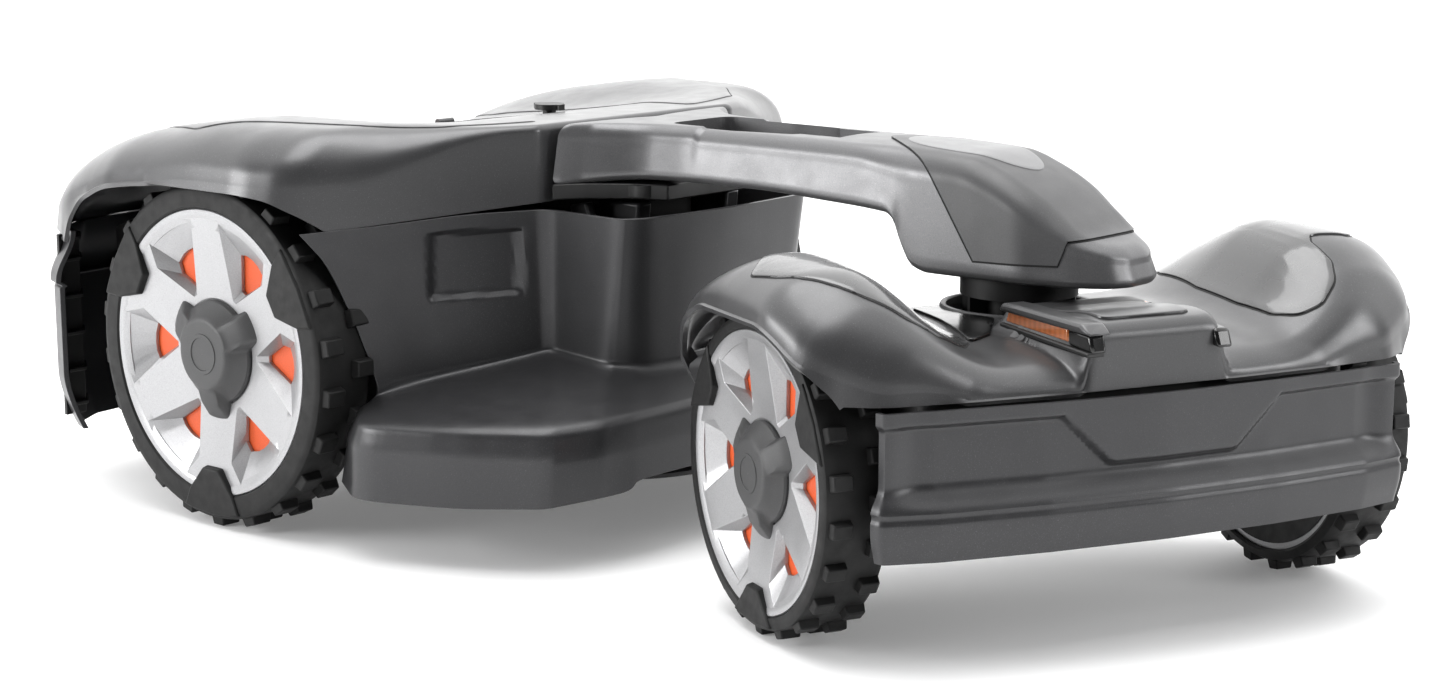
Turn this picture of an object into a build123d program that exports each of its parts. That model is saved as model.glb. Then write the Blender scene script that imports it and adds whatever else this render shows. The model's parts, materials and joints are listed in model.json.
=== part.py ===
"""Articulated four-wheel-drive robotic lawn mower.

The wide main body carries the front wheels, the cutting deck and a long arm.  The arm ends
in a steering head over the rear body, which turns on a vertical column and rolls on a
lengthwise pin.  The rear body is drawn turned to the left of straight ahead.
Units are millimetres, +X is forward, +Y is the mower's left, +Z is up, ground is z = 0.
"""
from build123d import *
from math import cos, radians, sin, tan
import os

os.makedirs("parts", exist_ok=True)

# ---------------------------------------------------------------- driving dimensions
STEER_X = -269.69           # steering axis from the middle of the overall length
REST_STEER = -24.7          # degrees that the rear body is turned at rest

HALF_WIDTH = 275.0          # fender to centre line
NOSE_X = 755.0              # bumper front ahead of the steering axis
FENDER_TOP = 285.5          # top of the front fenders
SEAM_REAR = 217.5           # shell seam above the side walls
SEAM_NOSE = 193.5           # shell seam above the front bumper
SKIN = 3.0                  # moulded wall thickness

FRONT_AXLE_X = 504.5
FRONT_WHEEL_R = 125.0
FRONT_FACE_Y = 259.0        # outer face of the front rims
REAR_AXLE_X = -41.0
REAR_WHEEL_R = 101.6
REAR_FACE_Y = 208.5         # outer face of the rear rims
REAR_SCALE = 87.2 / 101.5   # rear rim radius over front rim radius
FRONT_TYRE_WIDTH = 50.0
REAR_TYRE_WIDTH = 46.0

CUT_X = 345.0               # blade disc centre ahead of the steering axis
BLADE_Z = 45.0              # blade height at rest
BLADE_SWEEP_R = 100.0

ARM_TOP = 284.0
ARM_BOTTOM = 242.0
HEAD_BOTTOM = 208.0
COLUMN_R = 14.0
ROLL_Z = 155.0              # roll pin above ground
ROLL_PIN_R = 8.0
RUN_CLEAR = 0.05            # radial clearance of a running fit

REAR_SEAM = 160.0           # rear shell seam above ground
REAR_DECK_TOP = 182.0
REAR_FENDER_TOP = 231.0
REAR_HALF_WIDTH = 226.0

# ---------------------------------------------------------------- planes of the two bodies
turn = radians(REST_STEER)
MAIN = Plane(origin=(STEER_X, 0, 0), x_dir=(1, 0, 0), z_dir=(0, 0, 1))
REAR = Plane(origin=(STEER_X, 0, 0), x_dir=(cos(turn), sin(turn), 0), z_dir=(0, 0, 1))


def side_plane(base, y):
    """Upright lengthwise plane: sketch x runs forward, sketch y up, normal to the right."""
    return Plane(origin=base.from_local_coords((0, y, 0)), x_dir=base.x_dir, z_dir=-base.y_dir)


def cross_plane(base, x):
    """Upright crosswise plane: sketch x runs to the left, sketch y up, normal forward."""
    return Plane(origin=base.from_local_coords((x, 0, 0)), x_dir=base.y_dir, z_dir=base.x_dir)


def level_at(base, x, y, z):
    """Level plane with its origin at a point given in the body's own coordinates."""
    return Plane(origin=base.from_local_coords((x, y, z)), x_dir=base.x_dir, z_dir=base.z_dir)


def both_sides(points):
    """Close a half outline, listed from rear to front with y >= 0, by its mirror image."""
    return points + [(x, -y) for x, y in reversed(points) if y > 0]


def corner_radii(points, radius):
    """The wanted radius at each corner, or as much of it as the two runs beside it allow."""
    radii = []
    for i, point in enumerate(points):
        here = Vector(*point)
        run_in = here - Vector(*points[i - 1])
        run_out = Vector(*points[(i + 1) % len(points)]) - here
        half_turn = radians(run_in.get_angle(run_out)) / 2
        room = 0.45 * min(run_in.length, run_out.length) / tan(half_turn)
        radii.append(min(radius, room))
    return radii


def prism(plane, points, height, radius=0.0, inset=0.0):
    """Straight solid on a closed polygon with rounded corners, drawn in by inset."""
    with BuildPart() as block:
        with BuildSketch(plane):
            with BuildLine():
                if radius > 0:
                    FilletPolyline(*points, radius=corner_radii(points, radius), close=True)
                else:
                    Polyline(*points, close=True)
            make_face()
            if inset > 0:
                offset(amount=-inset, kind=Kind.INTERSECTION, mode=Mode.REPLACE)
        extrude(amount=height)
    return block.part


def slab_across(base, points, y_from, y_to, radius=0.0, inset=0.0):
    """Solid with a given side outline between two crosswise positions."""
    low, high = sorted((y_from, y_to))
    return prism(side_plane(base, high), points, high - low, radius, inset)


# ---------------------------------------------------------------- main body outlines
WELL_Y = 203.0              # inner wall of the wheel wells
skirt_plan = both_sides([(216, 131), (217, 163), (230, 200), (283, 233), (351, 259),
                         (386, 246), (386, WELL_Y), (640, WELL_Y), (696, 192), (720, 156), (728, 90)])
tub_plan = both_sides([(241, 0), (246, 60), (255, 100), (326, 100), (384, 213), (384, WELL_Y),
                       (640, WELL_Y), (696, 188), (714, 120)])
wall_plan = both_sides([(241, 0), (246, 60), (255, 100), (326, 100), (405, 257), (412, 257),
                        (412, WELL_Y), (450, WELL_Y)])
shell_plan = both_sides([(330, 103), (408, 262), (446, HALF_WIDTH), (590, HALF_WIDTH), (668, 264),
                         (712, 247), (740, 214), (752, 150), (NOSE_X + 2, 60)])
deck_side = [(320, 150), (320, 285), (396, 282), (430, 277), (500, 268), (590, 256),
             (660, 238), (720, 212), (762, 188), (762, 150)]
fender_side = [(330, 150), (358, 262), (412, FENDER_TOP - 2.5), (489, FENDER_TOP), (569, 277), (628, 264),
               (690, 232), (725, 208), (762, 186), (762, 150)]
seam_side = [(300, 100), (300, SEAM_REAR), (655, SEAM_REAR), (668, SEAM_NOSE), (780, SEAM_NOSE), (780, 100)]
CROWN_R = 120.0             # rounding of the covers in side view
CORNER_R = 14.0             # rounding of the covers in plan
arch_side = [(376, 90), (390, 205), (428, 242), (560, 242), (632, 226), (664, 190), (664, 90)]

# ---------------------------------------------------------------- upper shell
HATCH_X = 505.0
HATCH_LONG = 120.0
BUTTON_X = 610.0
BUTTON_R = 26.5
KNOB_X = 421.0
KNOB_STEM_R = 5.0
HINGE_X = 565.8
HINGE_Z = 260.6
HINGE_R = 2.6
HINGE_SPOTS = ((-38, -22), (22, 38))
shell_outer = prism(MAIN, shell_plan, 320, CORNER_R)
shell_inner = prism(MAIN, shell_plan, 320, CORNER_R, SKIN)
deck_outer = slab_across(MAIN, deck_side, -150, 150, CROWN_R)
deck_inner = slab_across(MAIN, deck_side, -150 + SKIN, 150 - SKIN, CROWN_R, SKIN)
fender_outer = slab_across(MAIN, fender_side, 140, 280, CROWN_R)
fender_inner = slab_across(MAIN, fender_side, 140 + SKIN, 280, CROWN_R, SKIN)
right_fender_inner = mirror(fender_inner, about=side_plane(MAIN, 0))
shell_core = (deck_inner + fender_inner + right_fender_inner) & shell_inner

with BuildPart() as upper_shell:
    add(deck_outer)
    add(fender_outer)
    mirror(fender_outer, about=side_plane(MAIN, 0))
    add(shell_outer, mode=Mode.INTERSECT)
    add(shell_core, mode=Mode.SUBTRACT)
    with BuildSketch(side_plane(MAIN, 0)):
        with BuildLine():
            Polyline(*seam_side, close=True)
        make_face()
    extrude(amount=300, both=True, mode=Mode.SUBTRACT)
    for wall_y in (300, -205):
        with BuildSketch(side_plane(MAIN, wall_y)):
            with BuildLine():
                FilletPolyline(*arch_side, radius=corner_radii(arch_side, 30), close=True)
            make_face()
        extrude(amount=95, mode=Mode.SUBTRACT)
    with BuildSketch(MAIN.offset(200)):
        with Locations((350, 0)):
            Rectangle(84, 126)
        with Locations((HATCH_X, 0)):
            RectangleRounded(HATCH_LONG + 2, HATCH_LONG + 2, 8)
        with Locations((BUTTON_X, 0)):
            Circle(BUTTON_R + 0.5)
        with Locations((KNOB_X, 0)):
            Circle(KNOB_STEM_R + 0.5)
    extrude(amount=110, mode=Mode.SUBTRACT)
    for y_from, y_to in HINGE_SPOTS:
        with BuildSketch(side_plane(MAIN, y_to + 1)):
            with Locations((HINGE_X, HINGE_Z)):
                Circle(HINGE_R + 0.6)
        extrude(amount=y_to - y_from + 2, mode=Mode.SUBTRACT)
upper_shell.part.label = "upper_shell"
export_step(upper_shell.part, "parts/upper_shell.step")

with BuildPart() as hatch:
    with BuildSketch(MAIN.offset(240)):
        with Locations((HATCH_X, 0)):
            RectangleRounded(HATCH_LONG, HATCH_LONG, 7)
    extrude(amount=50)
    add(deck_outer, mode=Mode.INTERSECT)
    add(deck_inner, mode=Mode.SUBTRACT)
    for y_from, y_to in HINGE_SPOTS:
        with BuildSketch(side_plane(MAIN, y_to)):
            with Locations((HINGE_X, HINGE_Z)):
                Circle(HINGE_R)
        extrude(amount=y_to - y_from)
hatch.part.label = "hatch"
export_step(hatch.part, "parts/hatch.step")

with BuildPart() as latch_knob:
    with BuildSketch(level_at(MAIN, KNOB_X, 0, 282)):
        Circle(11)
        Rectangle(26, 6)
    extrude(amount=4)
    with BuildSketch(level_at(MAIN, KNOB_X, 0, 262)):
        Circle(KNOB_STEM_R)
    extrude(amount=20)
latch_knob.part.label = "latch_knob"
export_step(latch_knob.part, "parts/latch_knob.step")

with BuildPart() as stop_button:
    with BuildSketch(level_at(MAIN, BUTTON_X, 0, 238)):
        Circle(BUTTON_R)
    extrude(amount=17)
    chamfer(stop_button.edges().group_by(Axis.Z)[-1], 2.5)
    with BuildSketch(level_at(MAIN, BUTTON_X, 0, 228)):
        Circle(9)
    extrude(amount=10)
stop_button.part.label = "stop_button"
export_step(stop_button.part, "parts/stop_button.step")

INSERT_THICK = 1.6
insert_plan = [(374, 153), (412, 186), (470, 214), (525, 240), (600, 236), (642, 216), (642, 153)]
insert_prism = prism(MAIN.offset(230), insert_plan, 80, 20)
with BuildPart() as fender_inserts:
    add(insert_prism)
    add(Pos(0, 0, INSERT_THICK) * fender_outer, mode=Mode.INTERSECT)
    add(fender_outer, mode=Mode.SUBTRACT)
    mirror(about=side_plane(MAIN, 0))
fender_inserts.part.label = "fender_inserts"
export_step(fender_inserts.part, "parts/fender_inserts.step")

# ---------------------------------------------------------------- chassis of the main body
LEDGE_Z = 106.0
FLOOR_Z = LEDGE_Z - 6
SKIRT_Z = 45.0
CONTACT_X = 690.0
CONTACT_SPOTS = (-24.0, 24.0)
CONTACT_LONG = 46.0
CONTACT_WIDE = 10.0
cutting_chamber = (prism(MAIN.offset(SKIRT_Z - 5), skirt_plan, FLOOR_Z - SKIRT_Z, 20, 4)
                   & slab_across(MAIN, [(200, 20), (200, 120), (448, 120), (448, 20)], -270, 270))
with BuildPart() as main_chassis:
    add(prism(MAIN.offset(SKIRT_Z), skirt_plan, LEDGE_Z - SKIRT_Z, 20))
    add(prism(MAIN.offset(LEDGE_Z), tub_plan, SEAM_REAR - 0.5 - LEDGE_Z, 8))
    add(prism(MAIN.offset(LEDGE_Z), wall_plan, SEAM_REAR - 0.5 - LEDGE_Z, 8))
    # electronics bay above, cutting chamber below
    add(prism(MAIN.offset(FLOOR_Z), tub_plan, 130, 8, SKIN), mode=Mode.SUBTRACT)
    add(prism(MAIN.offset(LEDGE_Z + 4), wall_plan, 130, 8, SKIN), mode=Mode.SUBTRACT)
    add(cutting_chamber, mode=Mode.SUBTRACT)
    with BuildSketch(MAIN.offset(SKIRT_Z + 4)):
        with Locations((575, 0)):
            RectangleRounded(240, 392, 4)
    extrude(amount=80, mode=Mode.SUBTRACT)
    with BuildSketch(MAIN.offset(90)):
        with Locations((CUT_X, 0)):
            Circle(46)
    extrude(amount=30, mode=Mode.SUBTRACT)
    # seats of the charging strips
    with BuildSketch(MAIN.offset(SKIRT_Z)):
        with Locations(*[(CONTACT_X, y) for y in CONTACT_SPOTS]):
            RectangleRounded(CONTACT_LONG + 1, CONTACT_WIDE + 1, 3)
    extrude(amount=6, mode=Mode.SUBTRACT)
    # raised middle of the skirt's rear edge
    with BuildSketch(cross_plane(MAIN, 200)):
        with Locations((0, 55)):
            RectangleRounded(262, 40, 8)
    extrude(amount=70, mode=Mode.SUBTRACT)
    # nose drops under the shell seam
    with BuildSketch(MAIN.offset(SEAM_NOSE - 3)):
        with Locations((760, 0)):
            Rectangle(190, 500)
    extrude(amount=60, mode=Mode.SUBTRACT)
    for wall_y in (300, -204):
        with BuildSketch(side_plane(MAIN, wall_y)):
            with Locations((FRONT_AXLE_X, FRONT_WHEEL_R)):
                Circle(FRONT_WHEEL_R + 6)
        extrude(amount=96, mode=Mode.SUBTRACT)
    with BuildSketch(side_plane(MAIN, 0)):
        with Locations((FRONT_AXLE_X, FRONT_WHEEL_R)):
            Circle(14)
    extrude(amount=230, both=True, mode=Mode.SUBTRACT)
main_chassis.part.label = "main_chassis"
export_step(main_chassis.part, "parts/main_chassis.step")

lid_plan = both_sides([(340, 94), (388, 190), (640, 190), (660, 150)])
with BuildPart() as chassis_lid:
    add(prism(MAIN.offset(SEAM_REAR - 0.5), lid_plan, 3, 8))
    with BuildSketch(MAIN.offset(SEAM_REAR - 1)):
        with Locations((352, 0)):
            Rectangle(110, 128)
    extrude(amount=5, mode=Mode.SUBTRACT)
chassis_lid.part.label = "chassis_lid"
export_step(chassis_lid.part, "parts/chassis_lid.step")

# ---------------------------------------------------------------- front bumper
LIGHT_Y = 70.0
LIGHT_Z = 165.0
bumper_plan = both_sides([(640, 258), (690, 250), (722, 232), (742, 203), (751, 140), (NOSE_X, 50)])
with BuildPart() as front_bumper:
    add(prism(MAIN.offset(41), bumper_plan, 64, 14))
    add(prism(MAIN.offset(105), bumper_plan, 87.3, 14, 8))
    add(prism(MAIN.offset(30), bumper_plan, 71, 14, 4), mode=Mode.SUBTRACT)
    add(prism(MAIN.offset(101), bumper_plan, 110, 14, 12), mode=Mode.SUBTRACT)
    with BuildSketch(MAIN):
        with Locations((590, 0)):
            Rectangle(200, 560)
    extrude(amount=300, mode=Mode.SUBTRACT)
    with BuildSketch(cross_plane(MAIN, 730)):
        with Locations((LIGHT_Y, LIGHT_Z), (-LIGHT_Y, LIGHT_Z)):
            RectangleRounded(60, 22, 7)
    extrude(amount=40, mode=Mode.SUBTRACT)
front_bumper.part.label = "front_bumper"
export_step(front_bumper.part, "parts/front_bumper.step")

# ---------------------------------------------------------------- things inside the main body
with BuildPart() as control_panel:
    with BuildSketch(MAIN.offset(SEAM_REAR + 2.5)):
        with Locations((HATCH_X, 0)):
            RectangleRounded(80, 80, 6)
    extrude(amount=22)
    with BuildSketch(MAIN.offset(240)):
        with Locations((HATCH_X, 0)):
            RectangleRounded(112, 112, 6)
    extrude(amount=8)
    with BuildSketch(MAIN.offset(248)):
        with Locations((530, 0)):
            RectangleRounded(44, 72, 3)
        with Locations((482, 0)):
            with GridLocations(14, 18, 3, 4):
                RectangleRounded(10, 13, 2)
    extrude(amount=1.6)
control_panel.part.label = "control_panel"
export_step(control_panel.part, "parts/control_panel.step")

with BuildPart() as battery_pack:
    with BuildSketch(MAIN.offset(FLOOR_Z)):
        with Locations((422, 0)):
            RectangleRounded(60, 170, 8)
    extrude(amount=66)
    fillet(battery_pack.edges().group_by(Axis.Z)[-1], 4)
battery_pack.part.label = "battery_pack"
export_step(battery_pack.part, "parts/battery_pack.step")

with BuildPart() as main_board:
    with BuildSketch(MAIN.offset(196)):
        with Locations((505, 0)):
            RectangleRounded(170, 150, 4)
    extrude(amount=1.6)
    with BuildSketch(MAIN.offset(197.6)):
        with Locations((470, 35), (540, -40)):
            Rectangle(24, 24)
        with Locations((545, 45)):
            Rectangle(40, 16)
    extrude(amount=4)
main_board.part.label = "main_board"
export_step(main_board.part, "parts/main_board.step")

with BuildPart() as front_lights:
    with BuildSketch(cross_plane(MAIN, 720)):
        with Locations((LIGHT_Y, LIGHT_Z), (-LIGHT_Y, LIGHT_Z)):
            RectangleRounded(58, 20, 6)
    extrude(amount=15)
front_lights.part.label = "front_lights"
export_step(front_lights.part, "parts/front_lights.step")

with BuildPart() as charging_contacts:
    for contact_y in CONTACT_SPOTS:
        with BuildSketch(MAIN.offset(SKIRT_Z)):
            with Locations((CONTACT_X, contact_y)):
                RectangleRounded(CONTACT_LONG, CONTACT_WIDE, 3)
        extrude(amount=4)
charging_contacts.part.label = "charging_contacts"
export_step(charging_contacts.part, "parts/charging_contacts.step")

# ---------------------------------------------------------------- height-adjusted cutting unit
GUIDE_R = 5.0
GUIDE_Y = 58.0
MOTOR_Z = 84.0
SHAFT_R = 5.0
DISC_R = 76.0
BLADE_PIVOT_R = 68.0
BLADE_SCREW_R = 2.5
SKID_Z = BLADE_Z - 10
guide_spots = [(CUT_X, GUIDE_Y), (CUT_X, -GUIDE_Y)]

with BuildPart() as guide_posts:
    with BuildSketch(MAIN.offset(FLOOR_Z)):
        with Locations(*guide_spots):
            Circle(9)
    extrude(amount=4)
    with BuildSketch(MAIN.offset(FLOOR_Z + 4)):
        with Locations(*guide_spots):
            Circle(GUIDE_R)
    extrude(amount=76)
guide_posts.part.label = "guide_posts"
export_step(guide_posts.part, "parts/guide_posts.step")

with BuildPart() as cutting_motor:
    with BuildSketch(level_at(MAIN, CUT_X, 0, MOTOR_Z)):
        Circle(34)
    extrude(amount=50)
    fillet(cutting_motor.edges().group_by(Axis.Z)[-1], 4)
    with BuildSketch(level_at(MAIN, CUT_X, 0, MOTOR_Z)):
        Circle(SHAFT_R + RUN_CLEAR)
    extrude(amount=32, mode=Mode.SUBTRACT)
cutting_motor.part.label = "cutting_motor"
export_step(cutting_motor.part, "parts/cutting_motor.step")

with BuildPart() as cutting_carriage:
    with BuildSketch(level_at(MAIN, CUT_X, 0, 122)):
        Circle(41)
        Rectangle(24, 2 * GUIDE_Y)
        with Locations((0, GUIDE_Y), (0, -GUIDE_Y)):
            Circle(12)
            Circle(GUIDE_R + RUN_CLEAR, mode=Mode.SUBTRACT)
        Circle(34, mode=Mode.SUBTRACT)
    extrude(amount=10)
cutting_carriage.part.label = "cutting_carriage"
export_step(cutting_carriage.part, "parts/cutting_carriage.step")

with BuildPart() as blade_disc:
    with BuildSketch(level_at(MAIN, CUT_X, 0, BLADE_Z)):
        Circle(DISC_R)
        with PolarLocations(BLADE_PIVOT_R, 3):
            Circle(BLADE_SCREW_R, mode=Mode.SUBTRACT)
        with PolarLocations(44, 6, start_angle=30):
            Circle(9, mode=Mode.SUBTRACT)
    extrude(amount=3)
    with BuildSketch(level_at(MAIN, CUT_X, 0, BLADE_Z + 3)):
        Circle(14)
    extrude(amount=14)
    with BuildSketch(level_at(MAIN, CUT_X, 0, BLADE_Z + 17)):
        Circle(SHAFT_R)
    extrude(amount=MOTOR_Z + 30 - BLADE_Z - 17)
    with BuildSketch(level_at(MAIN, CUT_X, 0, SKID_Z - 5)):
        Circle(6)
    extrude(amount=BLADE_Z - SKID_Z + 5)
blade_disc.part.label = "blade_disc"
export_step(blade_disc.part, "parts/blade_disc.step")

BLADE_TOP = BLADE_Z - 0.6
BLADE_THICK = 0.8
for number in range(3):
    angle = radians(120 * number)
    pivot_x = CUT_X + BLADE_PIVOT_R * cos(angle)
    pivot_y = BLADE_PIVOT_R * sin(angle)
    blade_plane = Plane(origin=MAIN.from_local_coords((pivot_x, pivot_y, BLADE_TOP - BLADE_THICK)),
                        x_dir=(cos(angle), sin(angle), 0), z_dir=(0, 0, 1))
    with BuildPart() as blade:
        with BuildSketch(blade_plane):
            with Locations(((BLADE_SWEEP_R - BLADE_PIVOT_R - 7) / 2, 0)):
                RectangleRounded(BLADE_SWEEP_R - BLADE_PIVOT_R + 7, 18, 1.5)
            Circle(BLADE_SCREW_R + RUN_CLEAR, mode=Mode.SUBTRACT)
        extrude(amount=BLADE_THICK)
    blade.part.label = f"blade_{number + 1}"
    export_step(blade.part, f"parts/blade_{number + 1}.step")

with BuildPart() as blade_screws:
    with BuildSketch(level_at(MAIN, CUT_X, 0, BLADE_TOP - BLADE_THICK - 0.6)):
        with PolarLocations(BLADE_PIVOT_R, 3):
            Circle(BLADE_SCREW_R)
    extrude(amount=BLADE_THICK + 1.2 + 3)
    with BuildSketch(level_at(MAIN, CUT_X, 0, BLADE_TOP - BLADE_THICK - 3)):
        with PolarLocations(BLADE_PIVOT_R, 3):
            Circle(4.5)
    extrude(amount=2.4)
blade_screws.part.label = "blade_screws"
export_step(blade_screws.part, "parts/blade_screws.step")

with BuildPart() as skid_plate:
    with BuildSketch(level_at(MAIN, CUT_X, 0, SKID_Z - 3)):
        Circle(82)
        Circle(6 + RUN_CLEAR, mode=Mode.SUBTRACT)
        with PolarLocations(50, 5):
            Circle(10, mode=Mode.SUBTRACT)
    extrude(amount=3)
    with BuildSketch(level_at(MAIN, CUT_X, 0, SKID_Z)):
        Circle(13)
        Circle(6 + RUN_CLEAR, mode=Mode.SUBTRACT)
    extrude(amount=3)
skid_plate.part.label = "skid_plate"
export_step(skid_plate.part, "parts/skid_plate.step")

# ---------------------------------------------------------------- arm and steering head
arm_plan = both_sides([(-93, 0), (-88, 22), (-66, 40), (-30, 49), (53, 50), (150, 46), (240, 50),
                       (290, 68), (325, 98), (327, 62), (327, 60), (390, 60)])
arm_side = [(-93, 212), (-86, 226), (-66, 233), (-33, 259), (-7, 273), (22, ARM_TOP - 2), (94, ARM_TOP),
            (390, ARM_TOP), (390, ARM_BOTTOM), (98, ARM_BOTTOM), (76, 232), (56, HEAD_BOTTOM), (-84, HEAD_BOTTOM)]
cap_side = [(66, 300), (12, 222), (-56, 220), (-62, 236), (-72, 300)]
HANDLE_X = 210.0
HANDLE_LONG = 100.0
HANDLE_WIDE = 58.0
ARM_SKIN = 4.0
arm_outer = (prism(MAIN.offset(180), arm_plan, 140, 30)
             & slab_across(MAIN, arm_side, -110, 110, 22))
arm_core = (prism(MAIN.offset(180), arm_plan, 140, 30, ARM_SKIN)
            & slab_across(MAIN, arm_side, -110, 110, 22, ARM_SKIN))
cap_region = slab_across(MAIN, cap_side, -80, 80, 6)

with BuildPart() as handle_well:
    with BuildSketch(MAIN.offset(200)):
        with Locations((HANDLE_X, 0)):
            RectangleRounded(HANDLE_LONG + 2 * ARM_SKIN, HANDLE_WIDE + 2 * ARM_SKIN, 16)
    extrude(amount=120)
arm_hollow = arm_core - handle_well.part

with BuildPart() as arm_shell:
    add(arm_outer)
    add(arm_hollow, mode=Mode.SUBTRACT)
    add(cap_region, mode=Mode.SUBTRACT)
    with BuildSketch(MAIN.offset(200)):
        with Locations((HANDLE_X, 0)):
            RectangleRounded(HANDLE_LONG, HANDLE_WIDE, 12)
    extrude(amount=120, mode=Mode.SUBTRACT)
    with BuildSketch(MAIN.offset(200)):
        Circle(33)
    extrude(amount=20, mode=Mode.SUBTRACT)
arm_shell.part.label = "arm_shell"
export_step(arm_shell.part, "parts/arm_shell.step")

with BuildPart() as arm_cap:
    add(arm_outer)
    add(cap_region, mode=Mode.INTERSECT)
    add(arm_core, mode=Mode.SUBTRACT)
arm_cap.part.label = "arm_cap"
export_step(arm_cap.part, "parts/arm_cap.step")

with BuildPart() as arm_foot:
    with BuildSketch(MAIN.offset(ARM_BOTTOM - 8)):
        with Locations((332, 0)):
            RectangleRounded(118, 116, 10)
    extrude(amount=8)
    for web_y in (-46, 40):
        with BuildSketch(side_plane(MAIN, web_y + 6)):
            with BuildLine():
                Polyline((300, 234), (385, 234), (385, FLOOR_Z), (368, FLOOR_Z), (362, 190), close=True)
            make_face()
        extrude(amount=6)
arm_foot.part.label = "arm_foot"
export_step(arm_foot.part, "parts/arm_foot.step")

BEARING_TOP = 240.0
with BuildPart() as steering_bearing:
    with BuildSketch(MAIN.offset(HEAD_BOTTOM)):
        Circle(33)
        Circle(COLUMN_R + RUN_CLEAR, mode=Mode.SUBTRACT)
    extrude(amount=BEARING_TOP - HEAD_BOTTOM)
steering_bearing.part.label = "steering_bearing"
export_step(steering_bearing.part, "parts/steering_bearing.step")

with BuildPart() as steering_motor:
    with BuildSketch(level_at(MAIN, 62, 0, 248)):
        Circle(20)
    extrude(amount=22)
    with BuildSketch(level_at(MAIN, 62, 0, 270)):
        Circle(12)
    extrude(amount=6)
steering_motor.part.label = "steering_motor"
export_step(steering_motor.part, "parts/steering_motor.step")

# ---------------------------------------------------------------- steering yoke
MOUNT_TOP = HEAD_BOTTOM - 2
with BuildPart() as steering_column:
    with BuildSketch(REAR.offset(ROLL_Z - 20)):
        RectangleRounded(40, 40, 6)
    extrude(amount=42)
    with BuildSketch(REAR.offset(ROLL_Z + 22)):
        Circle(24)
    extrude(amount=14)
    with BuildSketch(REAR.offset(ROLL_Z + 36)):
        Circle(38)
    extrude(amount=MOUNT_TOP - ROLL_Z - 36)
    with BuildSketch(REAR.offset(ROLL_Z + 22)):
        with PolarLocations(30, 8):
            Rectangle(14, 3)
    extrude(amount=14)
    with BuildSketch(REAR.offset(MOUNT_TOP)):
        Circle(COLUMN_R)
    extrude(amount=BEARING_TOP + 12 - MOUNT_TOP)
    with BuildSketch(cross_plane(REAR, 0)):
        with Locations((0, ROLL_Z)):
            Circle(ROLL_PIN_R + RUN_CLEAR)
    extrude(amount=40, both=True, mode=Mode.SUBTRACT)
steering_column.part.label = "steering_column"
export_step(steering_column.part, "parts/steering_column.step")

GEAR_TEETH = 24
with BuildPart() as steering_gear:
    with BuildSketch(REAR.offset(BEARING_TOP + 2)):
        Circle(30)
        with PolarLocations(31, GEAR_TEETH):
            Rectangle(4, 3.6)
        Circle(COLUMN_R, mode=Mode.SUBTRACT)
    extrude(amount=8)
steering_gear.part.label = "steering_gear"
export_step(steering_gear.part, "parts/steering_gear.step")

# ---------------------------------------------------------------- rear body
chassis_plan = both_sides([(-146, 150), (-20, 157), (64, 157), (78, 130), (84, 60)])
rear_shell_plan = both_sides([(-160, 60), (-157, 120), (-150, 180), (-122, 220), (-86, REAR_HALF_WIDTH),
                              (24, REAR_HALF_WIDTH), (58, 214), (78, 160), (86, 70)])
rear_deck_side = [(-170, 120), (-170, 168), (-120, 178), (-40, REAR_DECK_TOP), (30, 180), (70, 172),
                  (92, 158), (92, 120)]
rear_fender_side = [(-170, 120), (-170, 178), (-120, 214), (-78, 229), (-30, REAR_FENDER_TOP), (10, 218),
                    (42, 196), (60, 166), (62, 120)]
rear_arch_side = [(-141, 90), (-140, 158), (-112, 186), (-76, 200), (-6, 200), (30, 184), (52, 160), (52, 90)]
hump_side = [(-164, 150), (-166, 184), (-160, 192), (-72, 196), (-58, 184), (-58, 150)]
HUMP_HALF = 44.0
LID_HALF = 34.0
rear_outer_plan = prism(REAR, rear_shell_plan, 260, 30)
rear_inner_plan = prism(REAR, rear_shell_plan, 260, 30, SKIN)
rear_deck = slab_across(REAR, rear_deck_side, -170, 170, 100)
rear_deck_core = slab_across(REAR, rear_deck_side, -170, 170, 100, SKIN)
rear_fender = slab_across(REAR, rear_fender_side, 158, 240, 100)
rear_fender_core = slab_across(REAR, rear_fender_side, 158 + SKIN, 240, 100, SKIN)
rear_hump = slab_across(REAR, hump_side, -HUMP_HALF, HUMP_HALF, 8)
rear_core = (rear_deck_core + rear_fender_core
             + mirror(rear_fender_core, about=side_plane(REAR, 0))) & rear_inner_plan

with BuildPart() as rear_shell:
    add(rear_deck)
    add(rear_fender)
    mirror(rear_fender, about=side_plane(REAR, 0))
    add(rear_outer_plan, mode=Mode.INTERSECT)
    add(rear_hump)
    add(rear_core, mode=Mode.SUBTRACT)
    with BuildSketch(REAR.offset(100)):
        Rectangle(700, 700)
    extrude(amount=REAR_SEAM - 100, mode=Mode.SUBTRACT)
    for wall_y in (260, -200):
        with BuildSketch(side_plane(REAR, wall_y)):
            with BuildLine():
                FilletPolyline(*rear_arch_side, radius=corner_radii(rear_arch_side, 60), close=True)
            make_face()
        extrude(amount=60, mode=Mode.SUBTRACT)
    with BuildSketch(REAR.offset(160)):
        Circle(47)
    extrude(amount=80, mode=Mode.SUBTRACT)
rear_shell.part.label = "rear_shell"
export_step(rear_shell.part, "parts/rear_shell.step")

rear_insert_plan = [(40, 166), (6, 196), (-60, 206), (-104, 196), (-96, 172), (-20, 166)]
rear_insert_prism = prism(REAR.offset(150), rear_insert_plan, 100, 16)
with BuildPart() as rear_inserts:
    add(rear_insert_prism)
    add(Pos(0, 0, INSERT_THICK) * rear_fender, mode=Mode.INTERSECT)
    add(rear_fender, mode=Mode.SUBTRACT)
    mirror(about=side_plane(REAR, 0))
rear_inserts.part.label = "rear_inserts"
export_step(rear_inserts.part, "parts/rear_inserts.step")

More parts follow.
